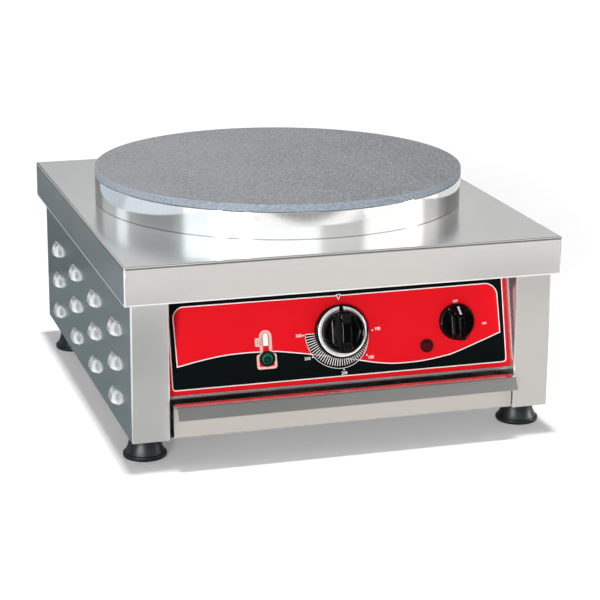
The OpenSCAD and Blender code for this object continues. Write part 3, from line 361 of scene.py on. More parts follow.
finishes = {
    "stainless": rolled_steel("stainless", SHEET, 0.16),
    "polished_stainless": polished_ring(
        "polished_stainless", (0.80, 0.80, 0.79), 0.07, plate_centre, collar_low.z),
    "cast_plate": cast_plate(
        "cast_plate", (0.295, 0.298, 0.312), (0.295, 0.34, 0.395), plate_centre, plate_r),
    "galvanised": zinc_sheet("galvanised", (0.56, 0.57, 0.58)),
    "insulation": mineral_wool("insulation", (0.70, 0.66, 0.52)),
    "printed_overlay": print_ink("black_print", (0.003, 0.005, 0.0055)),
    "red_lens": lens_finish("red", (0.085, 0.002, 0.004), (0.045, 0.002, 0.003), 4.4 * MM, 2.2 * MM),
    # the green lens's lighter rim is a painted glow of light through its edge
    "green_lens": lens_finish("green", (0.002, 0.035, 0.028), (0.01, 0.18, 0.10), 4.3 * MM, 3.4 * MM),
    **{name: turned_metal(name, *look) for name, look in METALS.items()},
    **{name: moulded(name, *look) for name, look in MOULDINGS.items()},
}
drawer_steel = rolled_steel("drawer_steel", (0.72, 0.71, 0.69), 0.16, 1.0)
# painted highlight along the cover's lower edge, and painted shade under its top bend
cover_steel = rolled_steel("cover_steel", SHEET, 0.18, 0.75, painted_highlight_below=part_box("top_cover")[0].z + 1.0 * MM,
                           painted_dark_line_at=collar_low.z - 2.4 * MM)
# painted highlight on the louvres
side_steel = rolled_steel("side_steel", SHEET, 0.16,
                          proud_from=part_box("side_panel_right")[1].x - LOUVRE_OUT)
inks = {name: print_ink(name + "_print", colour) for name, colour in {
    "red": (0.79, 0.010, 0.018),
    "white": (0.93, 0.91, 0.89),
    "pale": (0.92, 0.56, 0.50),
    "dusk": (0.50, 0.23, 0.18),
    "dark": (0.003, 0.003, 0.003),
}.items()}

for name, node in nodes.items():
    node.data.materials.clear()
    node.data.materials.append(finishes[slot_of[name]])


# ---- mesh helpers

def new_object(name, data):
    thing = bpy.data.objects.new(name, data)
    scene.collection.objects.link(thing)
    return thing


def plain_mesh(thing):
    """The mesh that an object's modifiers or its letters come to. The object itself goes."""
    graph = bpy.context.evaluated_depsgraph_get()
    mesh = bpy.data.meshes.new_from_object(thing.evaluated_get(graph))
    bpy.data.objects.remove(thing)
    return mesh


def shade_by_angle(mesh, angle):
    mesh.shade_smooth()
    mesh.set_sharp_from_angle(angle=radians(angle))


def piece_from(name, mesh, body, slot, *stands_for, finish=None, crease=35):
    """Turns a mesh that is already in place into a finished piece of the object."""
    mesh.materials.clear()
    mesh.materials.append(finish or finishes[slot])
    if crease:
        shade_by_angle(mesh, crease)
    piece = new_object(name, mesh)
    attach(piece, body)
    if stands_for:
        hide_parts(*stands_for)


def mesh_of(name, *builders, merge=1e-7):
    """A mesh that builders fill, with its doubles merged and its faces turned outwards."""
    bm = bmesh.new()
    for build in builders:
        build(bm)
    bmesh.ops.remove_doubles(bm, verts=bm.verts, dist=merge)
    bmesh.ops.recalc_face_normals(bm, faces=bm.faces)
    mesh = bpy.data.meshes.new(name)
    bm.to_mesh(mesh)
    bm.free()
    return mesh


def made(name, build, *where, **looks):
    """A finished piece of one shape."""
    piece_from(name, mesh_of(name, build), *where, **looks)


def of_kind(kind, found):
    """The elements of one kind among those that a mesh operation made."""
    return [item for item in found["geom"] if isinstance(item, kind)]


def arc(centre, radius, start, end, steps):
    """Points of an arc from angle start to end, in degrees."""
    turn = (radians(start + (end - start) * i / steps) for i in range(steps + 1))
    return [(centre[0] + radius * cos(a), centre[1] + radius * sin(a)) for a in turn]


def rounded(points, radius, steps=5, closed=True, hold=0.0):
    """The corners of a flat outline rounded with one radius, or with one for each corner.

    hold is how far beyond each rounded corner a point keeps the straight side's shading flat.
    """
    count = len(points)
    radii = radius if isinstance(radius, (list, tuple)) else [radius] * count
    out = []
    for i, (point, r) in enumerate(zip(points, radii)):
        if r == 0 or (not closed and i in (0, count - 1)):
            out.append(tuple(point))
            continue
        p = Vector(point)
        before = (Vector(points[i - 1]) - p).normalized()
        after = (Vector(points[(i + 1) % count]) - p).normalized()
        half = before.angle(after) / 2
        centre = p + (before + after).normalized() * (r / sin(half))
        start = p + before * (r / tan(half)) - centre
        end = p + after * (r / tan(half)) - centre
        if hold:
            out.append(tuple(centre + start + before * hold))
        for k in range(steps + 1):
            out.append(tuple(centre + start.slerp(end, k / steps) * start.length))
        if hold:
            out.append(tuple(centre + end + after * hold))
    return out


def lathe(profile, steps, place):
    """Spins a closed profile of (radius, height) about its own Z and puts it in place."""
    def build(bm):
        rings = []
        for r, h in profile:
            if r < 1e-9:
                rings.append([bm.verts.new(place @ Vector((0, 0, h)))] * steps)
                continue
            rings.append([
                bm.verts.new(place @ Vector((r * cos(a), r * sin(a), h)))
                for a in (2 * pi * i / steps for i in range(steps))
            ])
        for low, high in zip(rings, rings[1:]):
            for i in range(steps):
                corners = [low[i], low[(i + 1) % steps], high[(i + 1) % steps], high[i]]
                corners = [v for k, v in enumerate(corners) if v not in corners[:k]]
                if len(corners) > 2:
                    bm.faces.new(corners)
    return build


def prism(outline, low, high, place):
    """A flat shape, given as a closed outline, as a slab between two heights."""
    def build(bm):
        corners = [bm.verts.new((u, v, low)) for u, v in outline]
        edges = [bm.edges.new(pair) for pair in zip(corners, corners[1:] + corners[:1])]
        filled = bmesh.ops.triangle_fill(bm, use_beauty=True, use_dissolve=False, edges=edges)
        faces = of_kind(bmesh.types.BMFace, filled)
        lifted = bmesh.ops.extrude_face_region(bm, geom=faces, use_keep_orig=True)
        top = of_kind(bmesh.types.BMVert, lifted)
        bmesh.ops.translate(bm, vec=(0, 0, high - low), verts=top)
        bmesh.ops.transform(bm, matrix=place, verts=corners + top)
    return build


def sleeve(sections, place, closed=False):
    """Joins cross-sections, each a ring of points, one to the next, and caps the ends of an open run."""
    def build(bm):
        rows = [[bm.verts.new(place @ Vector(point)) for point in section] for section in sections]
        for first, second in zip(rows, rows[1:] + (rows[:1] if closed else [])):
            for k in range(len(first)):
                n = (k + 1) % len(first)
                bm.faces.new((first[k], first[n], second[n], second[k]))
        if not closed:
            bm.faces.new(rows[0])
            bm.faces.new(rows[-1][::-1])
    return build


def ribbon(path, width, low, high, place, closed=False):
    """A band of one width along a flat path, as a slab between two heights."""
    count = len(path)
    points = [Vector(p) for p in path]
    sections = []
    for i, p in enumerate(points):
        before = points[i] - points[i - 1] if closed or i > 0 else points[1] - points[0]
        after = points[(i + 1) % count] - p if closed or i < count - 1 else before
        along = before.normalized() + after.normalized()
        across = Vector((-along.y, along.x)).normalized()
        stretch = 1 / max(0.4, across.dot(Vector((-after.y, after.x)).normalized()))
        left, right = (p + across * (side * width / 2 * stretch) for side in (1, -1))
        sections.append([(*left, low), (*left, high), (*right, high), (*right, low)])
    return sleeve(sections, place, closed)


def finished_sheet(node, bend, cut_edge, finish):
    """A copy of a sheet-metal node with its long bends and long cut edges rounded."""
    long_edge = 30 * MM
    widest_edge = 2.5 * MM
    bm = bmesh.new()
    bm.from_mesh(nodes[node].data)
    bmesh.ops.remove_doubles(bm, verts=bm.verts, dist=2e-6)
    bmesh.ops.dissolve_limit(bm, angle_limit=radians(1), verts=bm.verts, edges=bm.edges)
    weight = bm.edges.layers.float.new("bevel_weight_edge")
    for edge in bm.edges:
        length = edge.calc_length()
        if length < long_edge or len(edge.link_faces) != 2 or edge.calc_face_angle(0) < radians(30):
            continue
        narrowest = min(face.calc_area() for face in edge.link_faces) / length
        edge[weight] = 1.0 if narrowest > widest_edge else cut_edge / bend
    mesh = bpy.data.meshes.new(node + "_sheet")
    bm.to_mesh(mesh)
    bm.free()
    shade_by_angle(mesh, 30)
    blank = new_object(node, mesh)
    rounding = blank.modifiers.new("rounding", "BEVEL")
    rounding.width = bend
    rounding.segments = 3
    rounding.limit_method = "WEIGHT"
    shading = blank.modifiers.new("shading", "WEIGHTED_NORMAL")
    shading.keep_sharp = True
    shading.weight = 100
    piece_from(node + "_sheet", plain_mesh(blank), body_of[node], slot_of[node], node,
               finish=finish, crease=None)


def upright(x, y):
    """Place of a shape that stands on a point with its axis up."""
    return Matrix.Translation((x, y, 0))


# ---- panel's frame

KNOB_V = 54.6  # height of both knobs' axes above the panel's lower edge
KNOB_GAP = 1.5  # air between a knob's back and the panel
FILM_TOP = 0.3  # thickness of the printed film

dial = joints["thermostat_turn"]
switch = joints["switch_turn"]
panel_u = Vector((1, 0, 0))
panel_w = -Vector(dial["axis"]).normalized()
panel_v = panel_w.cross(panel_u)
panel_start = Vector(dial["pos_m"]) - panel_v * (KNOB_V * MM)
panel_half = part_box("panel_overlay")[1].x / MM


def panel_place(u=0.0, v=0.0, w=0.0):
    """Place of a shape drawn in millimetres on the panel, from its lower edge."""
    start = panel_start + (panel_u * u + panel_v * v + panel_w * w) * MM
    turn = Matrix((panel_u, panel_v, panel_w)).transposed().to_4x4()
    return Matrix.Translation(start) @ turn @ Matrix.Scale(MM, 4)


# ---- plate and its ring

PLATE_STEPS = 256
FLAT_HOLD = 0.3 * MM
plate_place = upright(plate_centre.x, plate_centre.y)


def build_plate():
    """The casting, with a softened top edge and a fine line under its rim."""
    spigot_r = plate_r - 14 * MM
    rim_low = collar_high.z + 0.4 * MM
    outline = [
        (0, plate_low.z), (spigot_r, plate_low.z), (spigot_r, rim_low),
        (plate_r, rim_low), (plate_r, plate_high.z), (0, plate_high.z),
    ]
    corners = [0, 0.5 * MM, 0, 0.6 * MM, 0.9 * MM, 0]
    profile = rounded(outline, corners, closed=False, hold=FLAT_HOLD)
    made("griddle", lathe(profile, PLATE_STEPS, plate_place), "body", "cast_plate", "cooking_plate")


def build_collar():
    """The rolled ring, with its lip folded in under the plate and its foot flange on the cover."""
    wall = 1.2 * MM
    inner = plate_r - 8 * MM
    low, high = collar_low.z, collar_high.z
    outline = [
        (inner, low), (plate_r, low), (plate_r, high), (inner, high), (inner, high - wall),
        (plate_r - wall, high - wall), (plate_r - wall, low + wall), (inner, low + wall),
    ]
    profile = rounded(outline, [0, 0, 0.5 * MM, 0, 0, 0.3 * MM, 0, 0], hold=FLAT_HOLD)
    made("collar", lathe(profile + profile[:1], PLATE_STEPS, plate_place),
         "body", "polished_stainless", "plate_collar")


build_plate()
build_collar()
finished_sheet("top_cover", 1.6 * MM, 0.5 * MM, cover_steel)
finished_sheet("drawer_front", 1.4 * MM, 0.3 * MM, drawer_steel)
for sheet in ("side_panel_left", "side_panel_right"):
    finished_sheet(sheet, 1.4 * MM, 0.3 * MM, side_steel)


# ---- the print

# heights of the four coats of ink above the panel's sheet, in millimetres
RED_LIFT = (0.30, 0.33)
BAND_LIFT = (0.33, 0.36)
LINE_LIFT = (0.36, 0.39)
TOP_LIFT = (0.39, 0.42)
on_panel = panel_place()


def curve_through(points, steps=6):
    """A smooth flat curve through points."""
    out = []
    ends = [points[0], *points, points[-1]]
    for corners in zip(ends, ends[1:], ends[2:], ends[3:]):
        for t in (i / steps for i in range(steps)):
            out.append(tuple(
                0.5 * (2 * b + (c - a) * t + (2 * a - 5 * b + 4 * c - d) * t * t
                       + (3 * b - a - 3 * c + d) * t ** 3)
                for a, b, c, d in zip(*corners)
            ))
    return [*out, tuple(points[-1])]


def printed(name, ink, *builders, mesh=None):
    """A piece of the print, from builders or from a mesh."""
    piece_from(name, mesh or mesh_of(name, *builders), "body", "printed_overlay", finish=inks[ink])


def inked(outline, lift, radius=0, steps=4):
    """A printed patch with rounded corners."""
    return prism(rounded(outline, radius, steps), *lift, on_panel)


def rectangle(left, low, right, high):
    return [(left, low), (right, low), (right, high), (left, high)]


wave = curve_through([
    (172.7, 39.9), (125.7, 24.2), (106.5, 20.0), (83.6, 17.4), (57, 17.3), (35.9, 19.9),
    (18.9, 23.6), (-29.2, 33.2), (-60.6, 38.6), (-73.1, 39.9), (-98.3, 40.7), (-123.2, 39.8),
    (-148.2, 36.4), (-170, 32.3),
])
field_sides = rounded([(-170, 32.3), (-171.4, 91.2), (0, 90.6), (171.6, 91.3), (172.7, 39.9)],
                      [0, 11, 0, 13, 0], 8, closed=False)
red_field = field_sides + wave[1:-1]
frame_line = rounded([(-175.9, 111.5), (-175.9, 9.1), (177.7, 9.1), (177.7, 111.5)],
                     [0, 3, 3.5, 0], closed=False)
border_u = panel_half - 0.2
red_border = [(-border_u, 111.5), (-border_u, 4.1), (border_u, 4.1), (border_u, 111.5)]

TICK_MIDDLE = (0.5, 54.0)
TICK_COUNT = 41
TICK_INNER = 27.6
SCALE_STEPS = 60
# outer radius of the dial's scale at angles counted clockwise from three o'clock
SCALE_REACH = ((0, 28.4), (25, 31.0), (45, 33.6), (70, 36.0), (90, 37.0), (140, 37.6), (180, 37.2))
# each number's text, its middle and its dot's middle
SCALE_NUMBERS = (
    ("300", (-43.6, 53.2), (-38.8, 53.2)), ("250", (-35.9, 29.6), (-30.4, 30.6)),
    ("200", (2.0, 11.9), (1.9, 15.4)), ("150", (31.2, 25.6), (26.8, 28.2)),
    ("100", (39.8, 53.9), (34.5, 52.9)),
)


def scale_reach(turn):
    for (a0, r0), (a1, r1) in zip(SCALE_REACH, SCALE_REACH[1:]):
        if turn <= a1:
            return r0 + (r1 - r0) * (turn - a0) / (a1 - a0)


def scale_point(radius, turn):
    a = -radians(turn)
    return (TICK_MIDDLE[0] + radius * cos(a), TICK_MIDDLE[1] + radius * sin(a))


scale_turns = [180 * i / SCALE_STEPS for i in range(SCALE_STEPS + 1)]
scale_edge = [scale_point(scale_reach(turn), turn) for turn in scale_turns]
scale_heel = [scale_point(TICK_INNER - 1, turn) for turn in scale_turns]


def node_group(name, sizes):
    """A node tree for shapes, its tools, and the wires of its inputs by name."""
    group = bpy.data.node_groups.new(name, "GeometryNodeTree")
    group.interface.new_socket("Geometry", in_out="INPUT", socket_type="NodeSocketGeometry")
    for label, value in sizes.items():
        kind = {int: "Int", float: "Float"}.get(type(value), "Material")
        socket = group.interface.new_socket(label, in_out="INPUT", socket_type="NodeSocket" + kind)
        socket.default_value = value
    group.interface.new_socket("Geometry", in_out="OUTPUT", socket_type="NodeSocketGeometry")
    t = Tree(group)
    entry = group.nodes.new("NodeGroupInput")
    return group, t, {socket.name: Wire(t, socket) for socket in entry.outputs if socket.name}


def close_group(t, points, shape, material, **placing):
    """Ends a tree with a shape on each point, made real and given its material."""
    placed = t.add("GeometryNodeInstanceOnPoints", {"Points": points, "Instance": shape, **placing})
    real = t.add("GeometryNodeRealizeInstances", {"Geometry": placed})
    dressed = t.add("GeometryNodeSetMaterial", {"Geometry": real, "Material": material})
    t.add("NodeGroupOutput", {"Geometry": dressed})


def fan_group():
    """Node tree that lays a fan of thin bars round the origin, longer and longer clockwise."""
    group, t, size = node_group("fan_of_bars", {
        "Count": TICK_COUNT, "Sweep": pi, "Growth": 0.5,
        "Inner radius": TICK_INNER - 0.6, "Start radius": 28.2, "End radius": 37.1,
        "Width": 0.72, "Thickness": LINE_LIFT[1] - LINE_LIFT[0], "Lift": sum(LINE_LIFT) / 2,
        "Material": inks["white"],
    })
    step = t.add("GeometryNodeInputIndex") / (size["Count"] - 1)
    angle = 0 - step * size["Sweep"]
    reach = step.maths("POWER", size["Growth"])
    outer = size["Start radius"] + (size["End radius"] - size["Start radius"]) * reach
    middle = (outer + size["Inner radius"]) / 2
    line = t.add("GeometryNodeMeshLine", {"Count": size["Count"]})
    points = t.add("GeometryNodeSetPosition", {
        "Geometry": line,
        "Position": t.vector(middle * angle.maths("COSINE"), middle * angle.maths("SINE"), size["Lift"]),
    })
    bar = t.add("GeometryNodeMeshCube", {"Size": (1, 1, 1)})
    close_group(t, points, bar, size["Material"], Rotation=t.vector(z=angle),
                Scale=t.vector(outer - size["Inner radius"], size["Width"], size["Thickness"]))
    return group


def grown(name, group, inputs=None, points=()):
    """The plain mesh that a node tree makes, on points if it wants them, in its own coordinates."""
    start = bpy.data.meshes.new(name)
    start.from_pydata(points, [], [])
    seed = new_object(name, start)
    modifier = seed.modifiers.new("nodes", "NODES")
    modifier.node_group = group
    for item in group.interface.items_tree:
        if item.in_out == "INPUT" and item.name in (inputs or {}):
            modifier[item.identifier] = inputs[item.name]
    mesh = plain_mesh(seed)
    bm = bmesh.new()
    bm.from_mesh(mesh)
    bmesh.ops.remove_doubles(bm, verts=bm.verts, dist=SLIVER)
    bmesh.ops.dissolve_degenerate(bm, dist=SLIVER, edges=bm.edges)
    bm.to_mesh(mesh)
    bm.free()
    return mesh


def lettering(name, text, height, u, v):
    """Small generic characters in white, centred on a point of the panel."""
    capital = 0.7  # height of a capital in the type's own size
    words = bpy.data.curves.new(name, "FONT")
    words.body = text
    words.size = height / capital
    words.align_x = "CENTER"
    words.align_y = "CENTER"
    words.extrude = 0.015
    words.offset = 0.09
    words.resolution_u = 3
    mesh = plain_mesh(new_object(name, words))
    mesh.transform(panel_place(u, v, TOP_LIFT[1]))
    printed(name, "white", mesh=mesh)


fan = fan_group()


def build_print():
    """The printed film: a red field with a wave, its white lines, the scale and the signs."""
    printed("print_red_field", "red", inked(red_field, RED_LIFT))
    printed("print_red_border", "red", inked(red_border + frame_line[::-1], RED_LIFT))
    printed("print_lines", "white",
            ribbon(red_field, 1.0, *BAND_LIFT, on_panel, closed=True),
            ribbon(frame_line, 1.0, *BAND_LIFT, on_panel))
    printed("scale_band", "dark", inked(scale_heel + scale_edge[::-1], BAND_LIFT))
    printed("scale_outline", "white", ribbon(scale_edge, 0.5, *LINE_LIFT, on_panel))
    ticks = grown("scale_ticks", fan)
    ticks.transform(on_panel @ Matrix.Translation((*TICK_MIDDLE, 0)))
    printed("scale_ticks", "white", mesh=ticks)
    printed("scale_dots", "white", *(
        inked(arc(dot, 0.75, 0, 345, 23), TOP_LIFT) for _, _, dot in SCALE_NUMBERS
    ))
    for text, middle, _ in SCALE_NUMBERS:
        lettering("scale_" + text, text, 2.9, *middle)
    lettering("label_off", "OFF", 2.2, 125.6, 75.4)
    lettering("label_on", "ON", 2.1, 156.0, 50.4)
    printed("marker_edge", "white", inked([(-2.3, 92.0), (3.3, 92.0), (0.5, 85.8)], BAND_LIFT, 0.4, 3))
    printed("marker", "dark", inked([(-0.9, 91.0), (1.9, 91.0), (0.5, 87.9)], LINE_LIFT))


def build_heat_sign():
    """The thermometer sign round the green lamp."""
    stem_u = -78.4

    def pill(low, high, half):
        """Outline of the stem's upright bar with a round top."""
        return [(stem_u - half, low), (stem_u + half, low), *arc((stem_u, high - half), half, 0, 180, 12)]

    printed("sign_edge", "pale",
            inked(rectangle(-88.5, 22.8, -67.7, 38.1), BAND_LIFT, 2.8, 5),
            inked(pill(36, 61.8, 6.4), BAND_LIFT),
            inked(rectangle(-89.4, 45.8, -83, 54.4), BAND_LIFT, 1.2))
    printed("sign_fill", "red",
            inked(rectangle(-86.0, 25.3, -70.2, 35.6), LINE_LIFT, 1.2),
            inked(rectangle(stem_u - 3.2, 34, stem_u + 3.2, 46), LINE_LIFT))
    printed("sign_shade", "dusk",
            inked(pill(46, 59.6, 4.0), LINE_LIFT),
            inked(rectangle(-87.0, 47.8, -86.2, 52.4), LINE_LIFT))
    printed("sign_slot", "white", inked(pill(46.2, 58.8, 2.6), TOP_LIFT))


build_print()
build_heat_sign()


# ---- knobs

DIAL_R, DIAL_H = 27.5, 7.4
GRIP_R, GRIP_BAR = 21.6, 6.6
SWITCH_R, SWITCH_BAR = 18.9, 5.6


def soft_step(t):
    t = min(1, max(0, t))
    return t * t * (3 - 2 * t)


def rim_drop(r, radius, band, depth):
    """How far a face has rounded over within a band of its rim."""
    edge = max(0.0, r - (radius - band)) / band
    return (1 - sqrt(max(0.0, 1 - edge * edge))) * depth


def dial_height(x, y):
    """Front of the thermostat's grip: a bar between two scooped hollows inside a low wall."""
    top, floor_h, half_bar = 16.6, 5.2, 4.4
    r = hypot(x, y)
    side = abs(x) - half_bar
    flank = soft_step(side / 1.4) * 0.3 + soft_step(side / 9.0) * 0.7
    wall_h, wall = 4.4, 5.2
    hollow = floor_h + soft_step((r - GRIP_R + wall) / wall_h) * wall_h
    height = top * (1 - flank) + hollow * flank
    dome = top + 0.4 - 0.0042 * r * r
    drop = rim_drop(r, GRIP_R, 2.6, 4.2)
    return min(height, dome) - drop * (1 if height > hollow + 1 else 0.75)


def switch_height(x, y):
    """Front of the switch's grip: a bar with concave flanks and a nose that slopes to the rim."""
    top, base_h = 18.0, 4.4
    front, foot, corner_r = 2.8, 7.6, 0.7
    past_bar = abs(x) - front - soft_step((y - 6.0) / 5.0) * 3.0
    side = past_bar / (foot - front)
    flank = 1 - (1 - min(1, max(0, side))) ** 2.2
    corner = min(1, max(0, (past_bar + corner_r) / corner_r))
    height = base_h + (top - base_h) * (1 - flank) - corner_r * (1 - sqrt(1 - corner * corner))
    nose = top - soft_step((y - 5.2) / 2.2) * 2.4 - max(0.0, y - 6.6) * 0.92
    drop = rim_drop(hypot(x, y), SWITCH_R, 2.0, 2.6)
    return max(base_h - drop, min(height, nose) - drop)


def swept_knob(radius, width, height_at):
    """A round knob with an upright skirt, whose front has the height height_at(x, y)."""
    columns, rows = 56, 72
    inside = 0.34  # share of the columns that lies across the bar

    def build(bm):
        grid = []
        for j in range(rows + 1):
            y = -radius * cos(pi * j / rows)
            chord = sqrt(max(radius * radius - y * y, 0))
            bar = min(width / 2, chord * 0.6)
            row = []
            for i in range(columns + 1):
                s = 2 * i / columns - 1
                if abs(s) <= inside:
                    x = bar * s / inside
                else:
                    x = (bar + (chord - bar) * (abs(s) - inside) / (1 - inside)) * (1 if s > 0 else -1)
                row.append(bm.verts.new((x, y, height_at(x, y))))
            grid.append(row)
        for low, high in zip(grid, grid[1:]):
            for i in range(columns):
                bm.faces.new((low[i], low[i + 1], high[i + 1], high[i]))
        wall = bmesh.ops.extrude_edge_only(bm, edges=[e for e in bm.edges if e.is_boundary])
        for v in of_kind(bmesh.types.BMVert, wall):
            v.co.z = 0
        bmesh.ops.holes_fill(bm, edges=[e for e in bm.edges if e.is_boundary])
    return build


def build_dial():
    """Thermostat knob: skirt, bright ring with its pointer gap, and the scooped grip."""
    place = panel_place(dial["pos_m"][0] / MM, KNOB_V, KNOB_GAP)
    skirt = rounded([(0, 0), (DIAL_R, 0), (DIAL_R, DIAL_H), (0, DIAL_H)], [0, 0.5, 1.3, 0], 4,
                    closed=False, hold=0.2)
    made("dial_skirt", lathe(skirt, 128, place), "thermostat_dial", "black_knob", "thermostat_knob")
    grip = mesh_of("dial_grip", swept_knob(GRIP_R, GRIP_BAR, dial_height), merge=SLIVER)
    grip.transform(place @ Matrix.Translation((0, 0, DIAL_H - 0.2)))
    piece_from("dial_grip", grip, "thermostat_dial", "black_knob", crease=60)

    steps, ring_r, ring_w = 120, 25.5, 3.6
    section = rounded([(21.9, 0), (ring_r, 0), (ring_r, 0.8), (24.6, 1.3), (22.0, 0.5)],
                      [0, 0, 0.3, 0.3, 0.1], 3)
    rows = []
    for i in range(steps + 1):
        row = []
        for r, h in section:
            gap = 7.4 + (ring_r - r) / ring_w * 6.5  # degrees, wider towards the inside
            a = radians(90 + gap / 2 + (360 - gap) * i / steps)
            row.append((r * cos(a), r * sin(a), DIAL_H - 0.4 + h))
        rows.append(row)
    made("dial_ring", sleeve(rows, place), "thermostat_dial", "chrome_ring", "knob_ring")


def build_switch():
    """Switch knob with its sloping nose and white pointer line."""
    place = panel_place(switch["pos_m"][0] / MM, KNOB_V, KNOB_GAP)
    grip = mesh_of("switch_grip", swept_knob(SWITCH_R, SWITCH_BAR, switch_height), merge=SLIVER)
    grip.transform(place)
    piece_from("switch_grip", grip, "switch_dial", "black_knob", "switch_knob", crease=60)
    half, sunk, proud = 1.05, -0.3, 0.12
    corners = ((-half, sunk), (-half, proud), (half, proud), (half, sunk))
    rows = [[(x, y, switch_height(0, y) + lift) for x, lift in corners]
            for y in (7.8, 9.2, 10.8, 12.4, 14.0, 15.6)]
    made("switch_pointer", sleeve(rows, place), "switch_dial", "black_knob", finish=inks["white"])


build_dial()
build_switch()


# ---- screws and gland

SCREW_HEAD_H = 2.4
TOWARDS_REAR = Matrix.Rotation(radians(-90), 4, "X")
DOWNWARDS = Matrix.Rotation(radians(180), 4, "X")


def screw_group():
    """Node tree for cross-recess screws: each point is the seat of a head, with the shank below it."""
    group, t, size = node_group("cross_screws", {
        "Head radius": 3.8, "Head height": SCREW_HEAD_H, "Shank radius": 2.0, "Shank length": 8.0,
        "Recess width": 0.9, "Material": finishes["zinc_fastener"],
    })
    radius, height = size["Head radius"], size["Head height"]
    shank_r, shank_l = size["Shank radius"], size["Shank length"]
    width, long = size["Recess width"], radius * 0.9

    def cone(low, high, depth, lift):
        shape = t.add("GeometryNodeMeshCone", {
            "Vertices": 28, "Radius Top": high, "Radius Bottom": low, "Depth": depth,
        })
        return t.add("GeometryNodeTransform", {"Geometry": shape, "Translation": t.vector(z=lift)})

    def bar(along, across):
        shape = t.add("GeometryNodeMeshCube", {"Size": t.vector(along, across, height)})
        return t.add("GeometryNodeTransform", {
            "Geometry": shape, "Translation": t.vector(z=height * 1.05), "Rotation": (0, 0, radians(25)),
        })

    def joined(operation, meshes):
        return t.add("GeometryNodeMeshBoolean", meshes, operation=operation, solver="EXACT")

    screw = joined("UNION", {"Mesh 2": [
        cone(shank_r, shank_r, shank_l + height / 2, 0 - shank_l),
        cone(radius, radius, height * 0.6, 0),
        cone(radius * 0.985, radius * 0.8, height * 0.25, height * 0.5),
        cone(radius * 0.81, radius * 0.5, height * 0.26, height * 0.74),
    ]})
    cut = joined("DIFFERENCE", {"Mesh 1": screw, "Mesh 2": [bar(long, width), bar(width, long)]})
    close_group(t, size["Geometry"], cut, size["Material"])
    return group


def bodies_along(name, turn):
    """Boxes in millimetres of a node's separate bodies, in axes turned by a matrix."""
    bm = bmesh.new()
    bm.from_mesh(nodes[name].data)
    bmesh.ops.remove_doubles(bm, verts=bm.verts, dist=1e-6)
    done = set()
    boxes = []
    for first in bm.verts:
        if first in done:
            continue
        done.add(first)
        body = [first]
        for vert in body:
            others = [edge.other_vert(vert) for edge in vert.link_edges]
            new = [other for other in others if other not in done]
            done.update(new)
            body += new
        found = [turn.inverted() @ vert.co / MM for vert in body]
        boxes.append([pick(values) for pick in (min, max) for values in zip(*found)])
    bm.free()
    return boxes


def build_screws(node, turn):
    """Every screw of a node, with turn carrying Z onto the way its heads face."""
    points = {}
    for x0, y0, z0, x1, y1, z1 in bodies_along(node, turn):
        seat = z1 - SCREW_HEAD_H
        points.setdefault(round(seat - z0, 2), []).append(((x0 + x1) / 2, (y0 + y1) / 2, seat))
    for number, (length, places) in enumerate(sorted(points.items())):
        mesh = grown(node, screws, {"Shank length": length}, places)
        mesh.transform(turn @ Matrix.Scale(MM, 4))
        stands_for = (node,) if number == 0 else ()
        piece_from("%s_%d" % (node, number + 1), mesh, body_of[node], "zinc_fastener", *stands_for)


def build_gland_ribs():
    """Grip ribs round the cap of the cord gland."""
    low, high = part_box("cable_gland")
    cap_r, cap_h, cone_h, count = 11.0, 7.0, 5.0, 28
    mesh = grown("gland_ribs", fan, {
        "Count": count, "Sweep": 2 * pi * (count - 1) / count, "Inner radius": cap_r - 0.4,
        "Start radius": cap_r + 0.55, "End radius": cap_r + 0.55, "Width": 1.1, "Thickness": cap_h - 1.2,
        "Lift": 0.0, "Material": finishes["gland_plastic"],
    })
    middle = ((low.x + high.x) / 2, high.y - (cone_h + cap_h / 2) * MM, (low.z + high.z) / 2)
    mesh.transform(Matrix.Translation(middle) @ TOWARDS_REAR @ Matrix.Scale(MM, 4))
    piece_from("gland_ribs", mesh, body_of["cable_gland"], "gland_plastic")


screws = screw_group()
build_screws("rear_screws", TOWARDS_REAR)
build_screws("panel_screws", DOWNWARDS)
build_gland_ribs()


# ---- feet

def build_foot(node):
    """A bell-shaped foot with a rolled lip and its threaded stud."""
    low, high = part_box(node)
    middle = (low + high) / 2
    r = (high.x - low.x) / 2
    neck_r, neck_top, stud_r = 15.3 * MM, 24.8 * MM, 4 * MM
    waist_r, waist, bell_steps = r - 2 * MM, 5.2 * MM, 10
    lip = rounded([(r - 4 * MM, 0), (r, 0), (r, 4.6 * MM), (waist_r, waist)],
                  [0, 1.8 * MM, 1.2 * MM, 0], closed=False)
    bell = [(neck_r + (waist_r - neck_r) * (1 - t) ** 2.3, waist + (neck_top - waist) * t)
            for t in (i / bell_steps for i in range(1, bell_steps + 1))]
    profile = [(0, 0), *lip, *bell, (stud_r, neck_top), (stud_r, high.z), (0, high.z)]
    bell_foot = lathe(profile, 96, upright(middle.x, middle.y))
    made("bell_" + node, bell_foot, body_of[node], "foot_plastic", node)


for corner in ("front_left", "front_right", "rear_left", "rear_right"):
    build_foot("foot_" + corner)


# ---- lamps

LAMP_STEPS = 72


